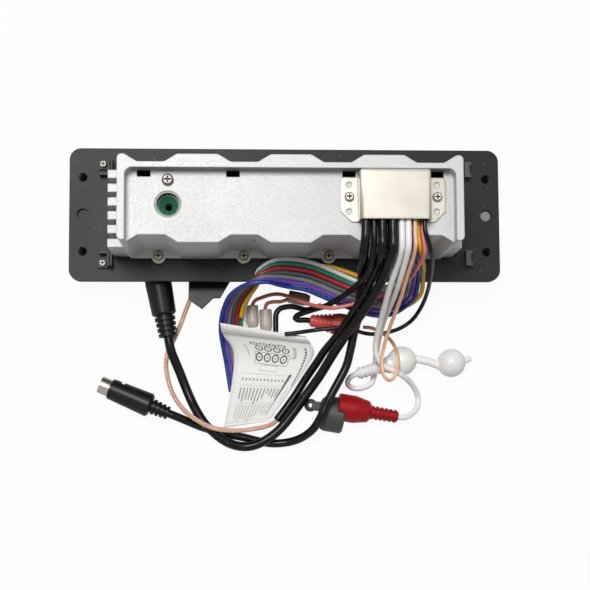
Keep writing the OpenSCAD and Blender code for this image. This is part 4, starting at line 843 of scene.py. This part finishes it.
ROUTES = {
    "plug_cable": leaves(35.3) + [
        (35, -24, 69.8), (35, -29.6, 63), (36, -34.6, 50), (37, -39.5, 38), (37.4, -43, 31), (37.4, -47, 28.8),
        (37.2, -51, 28.4), (36.6, -56, 25.4), (35, -63, 21.6), (33.2, -72, 20.4), (30.6, -81, 19.4),
        (23.5, -94, 19.6), (20.5, -100, 19.2), (17.5, -106.5, 18.4), (14, -112.4, 13), (8.5, -116.8, 6.4),
        (1.5, -119.2, 3.2), (-7, -119.8, 2.3), (-15, -118.4, 2.3), (-22, -116.6, 2.3), (-30, -115, 2.3),
        (-38, -113, 2.3), (-46, -110.4, 2.4), (-52.6, -107.6, 4), (-58, -105.3, 6.2), (-62.2, -103.6, 6.5),
        (-65.5, -102.2, 6.5)],
    "socket_cable": leaves(48.2) + [
        (48.2, -26.4, 71), (47.8, -30, 67.4), (46.9, -34.4, 60.4), (45.4, -39, 54.4), (43.6, -43.6, 48.6),
        (40.8, -48.6, 43), (37.4, -53.8, 37.4), (34.4, -58.2, 31.8), (31.2, -62.7, 26.4), (28, -67.7, 21.2),
        (25, -72.5, 16.8), (21.8, -78, 13), (18.5, -83.5, 10.6), (14.5, -89.3, 8.8), (10.3, -95, 8),
        (5, -102.4, 7.4), (-0.3, -109.2, 7.2), (-5.4, -114.3, 7.4), (-11, -118.2, 7.4), (-16.4, -120.6, 6.8),
        (-21.6, -121.4, 6.4), (-27, -120.6, 6.6), (-32.2, -118.4, 7), (-37.6, -114.4, 7.4),
        (-42.6, -109.4, 7.4), (-46.8, -103.2, 5.6), (-50.3, -96.5, 3.4), (-53.5, -89, 2.7),
        (-56.4, -81.5, 3.4), (-58.8, -75.6, 5.2), (-60.9, -70, 6.8), (-62.2, -63.4, 7), (-62.9, -59.4, 7)],
    "coax_jacket": leaves(43.2) + [
        (43.2, -26.2, 70.8), (42.9, -29.8, 65.8), (42.2, -33.4, 56.8), (41, -38, 49), (39.2, -43, 42.4),
        (37, -47.6, 37.4), (34.2, -52, 32.6), (31.4, -56.4, 26.4), (28.7, -60.8, 21), (24.8, -66, 14.6),
        (20.6, -71, 9.8), (17.4, -76, 6.4), (14, -81, 3.9), (10, -87, 2.6), (6, -93.4, 2.3), (1, -100.4, 2.3),
        (-4.4, -107.4, 2.3)],
    "coax_braid": [
        (-3.2, -105.8, 2.3), (-6.4, -109, 2.8), (-10.9, -110.8, 4.4), (-16, -111.8, 6), (-21.6, -112.6, 7.6),
        (-27, -112.9, 9.4), (-32.1, -112.6, 10.8), (-37, -111.8, 11.8), (-41.6, -110.2, 11.8),
        (-46.4, -107.6, 10.4), (-51.4, -104.2, 6.4), (-55.6, -100, 3), (-59, -95.2, 1.5), (-61.6, -89.4, 1.4),
        (-63.2, -83, 1.4), (-63.8, -77, 1.4), (-62.8, -70.6, 1.4), (-60.2, -65, 1.4), (-57.8, -60, 1.4),
        (-55.4, -54, 1.4), (-53.2, -48, 1.5), (-51, -42.5, 2)],
    "black_lead": leaves(39.2) + [
        (39.2, -23, 70.2), (39.2, -27, 68.6), (39, -31, 64.4), (38.6, -35.6, 57.6), (35.4, -39.6, 50.6),
        (33, -41.8, 45), (30.4, -43.6, 39.6), (27.8, -45.2, 34), (25.2, -46.3, 30), (22.4, -47.9, 27.8),
        (19.6, -48.6, 21.6), (14.5, -49.2, 13), (9.6, -50.4, 9.2), (6.4, -51.6, 7.2), (5.4, -53, 6.4),
        (7.4, -54, 6.4), (10.6, -53.9, 6.4), (13.4, -54.2, 6.4), (17.4, -54.8, 6.4)],
    "black_link": [
        (20, -45.4, 1.6), (16, -47, 1.6), (11.6, -47.8, 1.6), (7, -46.6, 1.6), (3, -46, 1.6), (-2, -47, 1.6),
        (-4.4, -49.6, 1.6), (-4.8, -53, 1.6), (-4.8, -57, 1.6), (-5, -61, 1.6), (-6.4, -64.4, 1.7),
        (-8.8, -65.6, 2.2), (-10, -62.8, 3), (-10.1, -58.4, 3.5)],
    "white_lead_upper": leaves(55.6) + [
        (55.6, -25.6, 70.4), (55.4, -30, 66.2), (54.8, -35, 59), (54.2, -40, 51.4), (53.4, -45, 42.4),
        (52, -50.4, 33), (50.6, -55.6, 25), (49.6, -61, 18.4), (49, -67, 12.4), (48.8, -72.4, 6.6),
        (48.7, -77.4, 2.4), (48.5, -82.6, 1.6), (46.4, -88, 1.6), (41, -90.4, 1.6), (36.4, -90.2, 2.2),
        (33.4, -88, 5), (34.4, -85, 7.2), (37, -83.4, 7.9), (41, -82.2, 8), (44, -81.3, 8)],
    "white_lead_lower": leaves(52.4) + [
        (52.4, -25.6, 70.4), (52, -30, 66.6), (51.2, -35, 60.4), (50, -40.4, 53.6), (49.2, -46, 45.4),
        (48.6, -51.4, 37.6), (47.8, -57.6, 29.6), (47, -64, 23.2), (46.6, -69.6, 19.4), (47.8, -75, 17.4),
        (51.4, -79.4, 16.4), (56, -81.6, 16), (60.8, -84, 14.8), (65.6, -87, 10.4), (69.6, -91, 5.6),
        (71.7, -96, 3), (70.6, -101.4, 4.4), (66.6, -105, 6.6), (62.6, -106.4, 7.6), (59, -105.8, 7.6),
        (55.6, -105.2, 7.6)],
    "copper_wire": leaves(58.8) + [
        (58.8, -25.6, 70.4), (58.6, -30, 66.6), (57.8, -35, 60), (57, -40, 53), (56.4, -45.6, 45.4),
        (55, -52.4, 36), (53.2, -59.4, 27.6), (51.4, -66.6, 23), (50, -73.4, 20.6), (49.6, -79.6, 19.8),
        (51, -84.6, 19.2), (53.8, -87, 18.8), (56.8, -84.8, 18.6), (58.4, -79.6, 18.2), (58.6, -73.6, 16),
        (57.6, -68, 12), (55, -63.4, 7.6), (51.4, -60, 4), (47, -57.8, 2), (42.6, -57.2, 1.2)],
    "ground_wire": leaves(63.4) + [
        (64.6, -22, 70), (67, -26.4, 65.6), (69.6, -30, 57), (71.6, -33.4, 45), (73.2, -37.6, 31),
        (74, -42, 18.5), (72.8, -47.6, 8.8), (69, -53.6, 2.6), (62.4, -58, 1.4), (54.5, -60.4, 1.3),
        (47.4, -61, 1.3), (41.6, -60.4, 3.6), (37.6, -59.6, 8.6), (33.6, -59.2, 13.4), (28, -59, 14),
        (22, -59.4, 13.4), (15.6, -60, 12.4), (10, -60.8, 12.6), (4.4, -61.6, 12.6), (-0.4, -62, 12.4)],
    "pink_link": [
        (-10.2, -55.4, 3.5), (-10.3, -51.6, 3.5), (-10.5, -47.4, 3.6), (-9.6, -44.9, 4.4), (-6.6, -44, 5),
        (-2, -43.8, 5.2), (1.4, -42.6, 4.6), (5, -41.4, 3.8), (9.8, -42.2, 3.6)],
}
BUNDLE = [
    (51, GROMMET_Y, LOW_ROW), (51, COVER_Y, LOW_ROW),
    (51.8, -25, 66.7), (54.6, -28.6, 58), (58, -31.6, 45), (60.8, -36, 31.6), (61, -40, 20), (57.6, -43, 11.6),
    (51.6, -45.4, 14.4), (44, -45.5, 21.2), (36, -43.4, 25), (28.6, -40.4, 25.2), (20.4, -36.9, 25.6),
    (11.5, -33.6, 26.6), (3, -32.2, 27.4), (-5.4, -32, 28.8), (-13, -34, 30.4), (-19, -37.6, 28.4),
    (-23.6, -42, 22), (-26.6, -47, 15.4), (-28, -52.4, 10.6), (-27.9, -58.4, 7.2), (-26.4, -65.6, 4.2),
    (-24.7, -74, 2), (-23.4, -82, 1.3), (-22, -91, 1.3)]
ROLLS_FROM, ROLLS = 14, (0, 20, 55, 92, 118, 130, 142, 156, 172, 180)
LANE, WIRE = 2.4, 2.36


def beside(i, lane, layer=0.0):
    """A point of the bundle's middle line, moved over by some lanes and layers as the bundle rolls."""
    a, b = (Vector(BUNDLE[min(max(k, 0), len(BUNDLE) - 1)]) for k in (i - 1, i + 1))
    ahead = Vector((0, -1, 0)) if i < 5 else (b - a).normalized()
    side = Vector((-ahead.y, ahead.x, 0)).normalized()
    rise = ahead.cross(side)
    turn = math.radians(ROLLS[min(max(i - ROLLS_FROM, 0), len(ROLLS) - 1)])
    over = lane * LANE * math.cos(turn) - layer * math.sin(turn)
    up = lane * LANE * math.sin(turn) + layer * math.cos(turn)
    return Vector(BUNDLE[i]) + side * over + rise * up


for colour, lane in (("white", -3), ("green", -2), ("red", -1), ("dark", 0),
                     ("grey", 1), ("purple", 2), ("blue", 3)):
    ROUTES[colour + "_wire"] = [beside(i, lane) for i in range(len(BUNDLE))]
ROUTES["yellow_wire"] = [beside(i, 4) for i in range(6)] + [
    beside(6, 4, -1.6), beside(7, 2.4, -3), beside(8, -1.2, -2.8), beside(9, -3.6, -2.5), beside(10, -4.1),
    beside(11, -4.1), beside(12, -3.8, -1.6), beside(13, -2.6, -2.6)] + [
    beside(i, -1.5, -2.6) for i in range(14, 21)]
ROUTES["pink_lead"] = [beside(i, 5) for i in range(3)] + [
    (64.2, -28.8, 65), (63, -32.6, 57), (61.4, -36, 49), (59, -39, 43.4), (56, -41.6, 39), (44, -45.6, 33.2),
    (39, -47, 33), (33.6, -48.6, 31.2), (28, -49.8, 30.4), (22.4, -50.4, 29.6), (16.8, -48.8, 24),
    (11.6, -46.8, 18), (6.6, -44.2, 13.6), (1.6, -41.8, 10.8), (-3.4, -40.4, 9.4), (-8, -40.6, 8),
    (-12.4, -41.8, 6.2), (-16, -43.2, 4.6), (-17.6, -46.2, 3.6), (-17.4, -50.4, 3.5)]

# Each cord: its finish, diameter, CAD node, slot, far end, stiffness and the pieces on that end
CORDS = {
    "plug_cable": ("cable", 4.4, "plug_cable", "black_cable", "plug", "medium",
                   ["remote_plug", "plug_shell"]),
    "socket_cable": ("cable", 5, "socket_cable", "black_cable", "connector", "medium", ["remote_socket"]),
    "coax_jacket": ("cable", 4.4, "coax_jacket", "black_cable", "bare", "medium", []),
    "coax_braid": ("braid", 2.6, "coax_braid", "braid", "fitting", "limp", ["tape_flag"]),
    "black_lead": ("cable", 3, "black_lead", "black_cable", "plug", "limp", ["upper_phono"]),
    "black_link": ("cable", 3, "black_lead", "black_cable", "object", "limp", []),
    "white_lead_upper": ("white_lead", 3, "white_leads", "white_lead", "plug", "limp", ["white_phono"]),
    "white_lead_lower": ("white_lead", 3, "white_leads", "white_lead", "plug", "limp", ["red_phono"]),
    "copper_wire": ("copper", 2, "copper_wire", "copper", "bare", "limp", []),
    "ground_wire": ("ground", 2.2, "ground_wire", "supply_wire", "bare", "limp", []),
    **{colour + "_wire": ("wire_" + colour, WIRE, group + "_wires", group + "_wire", "bare", "limp", [])
       for group, colours in (("speaker", ("white", "green", "grey", "dark", "purple")),
                              ("supply", ("red", "blue", "yellow"))) for colour in colours},
    "pink_lead": ("pink", 2, "pink_leads", "pink_wire", "connector", "limp", ["grey_phonos"]),
    "pink_link": ("pink", 2, "pink_leads", "pink_wire", "object", "limp", []),
}
cords = {}
for name, (skin, d, node, slot, far_end, stiffness, ends) in CORDS.items():
    points = smooth(ROUTES[name], 1.0)
    if skin == "copper":
        piece = stranded(name + "_strands", points, d, finish[skin], 8, 0.34, 14, False)
    elif skin == "braid":
        piece = stranded(name + "_sleeve", points, d, finish[skin], 5, 0.42, 8, True)
    else:
        piece = sweep(name + "_skin", points, d, finish[skin])
    carry(piece, "housing", slot, node)
    cords[name] = (piece, points)
for name, (skin, d, node, slot, far_end, stiffness, ends) in CORDS.items():
    piece, points = cords[name]
    points[0] * MM
    round(run_length(points)) * MM
    d * MM
    [q * MM for q in points]


# Paper label

LABEL_LEFT = [(-34.5, -56.6), (-33.4, -62), (-28, -69.6), (-27.6, -80), (-30, -96), (-33, -111.5)]
LABEL_RIGHT = [(10.5, -63), (15.6, -70.5), (12.4, -78), (5.6, -88), (-2.6, -99.6), (-8.6, -107.8)]
LABEL_BEND_Y, LABEL_BEND_RUN, LABEL_Z, LABEL_RISE, LABEL_DROP = -86, 25, 3.7, 7.8, 1.6
LABEL_ROWS, LABEL_FOLD, FOLD_HEIGHT = 60, 0.095, 1.7


def label_height(y):
    """Nearly flat in its lower part, and curling up towards its top edge."""
    k = (y - LABEL_BEND_Y) / LABEL_BEND_RUN
    return LABEL_Z + (LABEL_RISE * k ** 3 if k > 0 else LABEL_DROP * k)


def spaced(edge, count):
    """Evenly spaced points along a smooth edge."""
    fine = smooth([(x, y, 0) for x, y in edge], 0.5)
    total, so_far, points = run_length(fine), 0.0, [fine[0]]
    for a, b in zip(fine, fine[1:]):
        step = (b - a).length
        while len(points) < count and so_far + step >= total * len(points) / count:
            points.append(a.lerp(b, (total * len(points) / count - so_far) / step))
        so_far += step
    return points + [fine[-1]]


LABEL_EDGES = [spaced(edge, LABEL_ROWS) for edge in (LABEL_LEFT, LABEL_RIGHT)]


def label_spot(u, v):
    """A point of the label's upper face, across and down the sheet."""
    row = v * LABEL_ROWS
    i = min(int(row), LABEL_ROWS - 1)
    left, right = (edge[i].lerp(edge[i + 1], row - i) for edge in LABEL_EDGES)
    at = left.lerp(right, u)
    fold = FOLD_HEIGHT * math.sin(math.pi * v / LABEL_FOLD) if v < LABEL_FOLD else 0.0
    return Vector((at.x, at.y, label_height(at.y) + fold))


def label_sheet(name, thickness, across, down):
    """The label as a thin closed sheet, with its print laid out as UV."""
    bm = bmesh.new()
    uv = bm.loops.layers.uv.new("print")
    rows = [[(bm.verts.new(label_spot(i / across, j / down) * MM), i / across, j / down)
             for i in range(across + 1)] for j in range(down + 1)]
    for j in range(down):
        for i in range(across):
            lay_face(bm, uv, (rows[j][i], rows[j + 1][i], rows[j + 1][i + 1], rows[j][i + 1]))
    return walled(name, bm, finish["paper"], thickness)


label = label_sheet("label_leaf", 0.3, 30, 63)
carry(label, "housing", "paper", "paper_label")


# Harness cover as one pressed sheet with rounded bends

def cover_shell():
    """The raised box of the cover, open at the lower end, with rounded bends."""
    c = COVER
    left, right = c["x"] - c["half"], c["x"] + c["half"]
    low, top, base, roof = c["low"], c["top"] + 0.6, c["z"] + 0.05, c["z"] + c["h"]
    bm = bmesh.new()
    spots = {(i, j, k): bm.verts.new(Vector((x, y, z)) * MM)
             for i, x in enumerate((left, right)) for j, y in enumerate((low, top))
             for k, z in enumerate((base, roof))}
    for corners in (
            ((0, 0, 1), (1, 0, 1), (1, 1, 1), (0, 1, 1)), ((0, 1, 0), (0, 0, 0), (0, 0, 1), (0, 1, 1)),
            ((1, 0, 0), (1, 1, 0), (1, 1, 1), (1, 0, 1)), ((1, 1, 0), (0, 1, 0), (0, 1, 1), (1, 1, 1))):
        bm.faces.new([spots[q] for q in corners])
    bends = [e for e in bm.edges if len(e.link_faces) == 2]
    bmesh.ops.bevel(bm, geom=bends, offset=c["bend"] * MM, segments=5, profile=0.5, affect="EDGES")
    for face in bm.faces:
        face.smooth = face.calc_area() < 60 * MM * MM
    return walled("cover_box", bm, finish["nickel"], c["t"])


def cover_ears():
    """The two flat ears of the cover, each with its screw hole and two spare holes."""
    c = COVER
    line = bpy.data.curves.new("cover_ear_line", "CURVE")
    line.dimensions, line.fill_mode = "2D", "BOTH"
    line.extrude, line.bevel_depth = (c["t"] / 2 - c["edge"]) * MM, c["edge"] * MM
    line.bevel_resolution = 1
    inner, outer = c["half"] - 0.6, c["half"] + c["ear"]
    for side in (-1, 1):
        edge = [(inner, c["top"] - 2), (outer - 1, c["top"] - 2), (outer, c["top"] - 3),
                (outer, c["low"] + c["chamfer"]), (outer - c["chamfer"], c["low"]), (inner, c["low"])]
        rings = [[(c["x"] + side * x, y, 0) for x, y in edge]]
        middle = c["x"] + side * c["screw_x"]
        for y, r in ((c["screw_y"], c["screw_r"]), (c["spare_low"], c["spare_r"]),
                     (c["spare_top"], c["spare_r"])):
            rings.append([(middle + r * math.cos(k * math.pi / 12), y + r * math.sin(k * math.pi / 12), 0)
                          for k in range(24)])
        for ring in rings:
            add_line(line, ring, True)
    ears = baked("cover_ears", linked("cover_ear_line", line))
    ears.data.transform(Matrix.Translation((0, 0, (c["z"] + c["t"] / 2) * MM)))
    return ears


def joined(name, parts, material):
    bm = bmesh.new()
    for part in parts:
        bm.from_mesh(part.data)
        bpy.data.objects.remove(part)
    return finished(name, bm, material)


cover = joined("cover_sheet", [cover_shell(), cover_ears()], finish["nickel"])
carry(cover, "housing", "nickel_sheet", "harness_cover")


# Front: ribs round the knob's face and the tick ring beside it

def bar_ring_tree():
    """Geometry nodes that set low round-backed bars on a ring, pointing outwards."""
    tree, given, add = named_tree("bar_ring", {
        "Count": ("Int", 12), "Ring Radius": ("Float", 0.01), "Bar Length": ("Float", 0.002),
        "Bar Width": ("Float", 0.0006), "Flatness": ("Float", 0.4), "From": ("Float", 0.0),
        "Step Angle": ("Float", 0.1), "Centre": ("Vector", (0, 0, 0)), "Finish": ("Material", None)})
    line = add("GeometryNodeMeshLine", {"mode": "OFFSET"}, {"Count": given["Count"]})
    index = add("GeometryNodeInputIndex")
    turn = index.math("MULTIPLY_ADD", index, given["Step Angle"], given["From"])
    way = add("ShaderNodeCombineXYZ", None, {"X": turn.math("COSINE", turn), "Y": turn.math("SINE", turn)})
    reach = add("ShaderNodeVectorMath", {"operation": "SCALE"}, {0: way, "Scale": given["Ring Radius"]})
    spot = add("ShaderNodeVectorMath", {"operation": "ADD"}, {0: reach, 1: given["Centre"]})
    placed = add("GeometryNodeSetPosition", None, {"Geometry": line, "Position": spot})
    bar = add("GeometryNodeMeshCylinder", None, {
        "Vertices": 10, "Radius": given["Bar Width"] * 0.5, "Depth": given["Bar Length"]})
    laid = add("GeometryNodeTransform", None, {"Geometry": bar, "Rotation": (0, math.pi / 2, 0)})
    flat = add("ShaderNodeCombineXYZ", None, {"X": 1.0, "Y": 1.0, "Z": given["Flatness"]})
    low = add("GeometryNodeTransform", None, {"Geometry": laid, "Scale": flat})
    facing = add("ShaderNodeCombineXYZ", None, {"Z": turn})
    ring = add("GeometryNodeInstanceOnPoints", None, {"Points": placed, "Instance": low, "Rotation": facing})
    plain = add("GeometryNodeRealizeInstances", None, {"Geometry": ring})
    add("NodeGroupOutput", None, {"Geometry": add(
        "GeometryNodeSetMaterial", None, {"Geometry": plain, "Material": given["Finish"]})})
    return tree


BAR_RING = bar_ring_tree()


def bar_ring(name, body, slot, sizes):
    seed = linked(name + "_seed", bpy.data.meshes.new(name + "_seed"))
    carry(grown(name, seed, BAR_RING, sizes), body, slot)


bar_ring("knob_ribs", "volume", "knob", {
    "Count": 60, "Ring Radius": 10.6 * MM, "Bar Length": 2.6 * MM, "Bar Width": 0.6 * MM, "Flatness": 0.6,
    "From": 0.0, "Step Angle": math.pi / 30, "Centre": (KNOB_X, 0, 0.6 * MM), "Finish": finish["knob"]})
bar_ring("volume_ticks", "housing", "key", {
    "Count": 11, "Ring Radius": 17.2 * MM, "Bar Length": 2.2 * MM, "Bar Width": 0.5 * MM, "Flatness": 0.16,
    "From": math.radians(-45), "Step Angle": math.radians(27), "Centre": (KNOB_X, 0, 0.0),
    "Finish": finish["print"]})
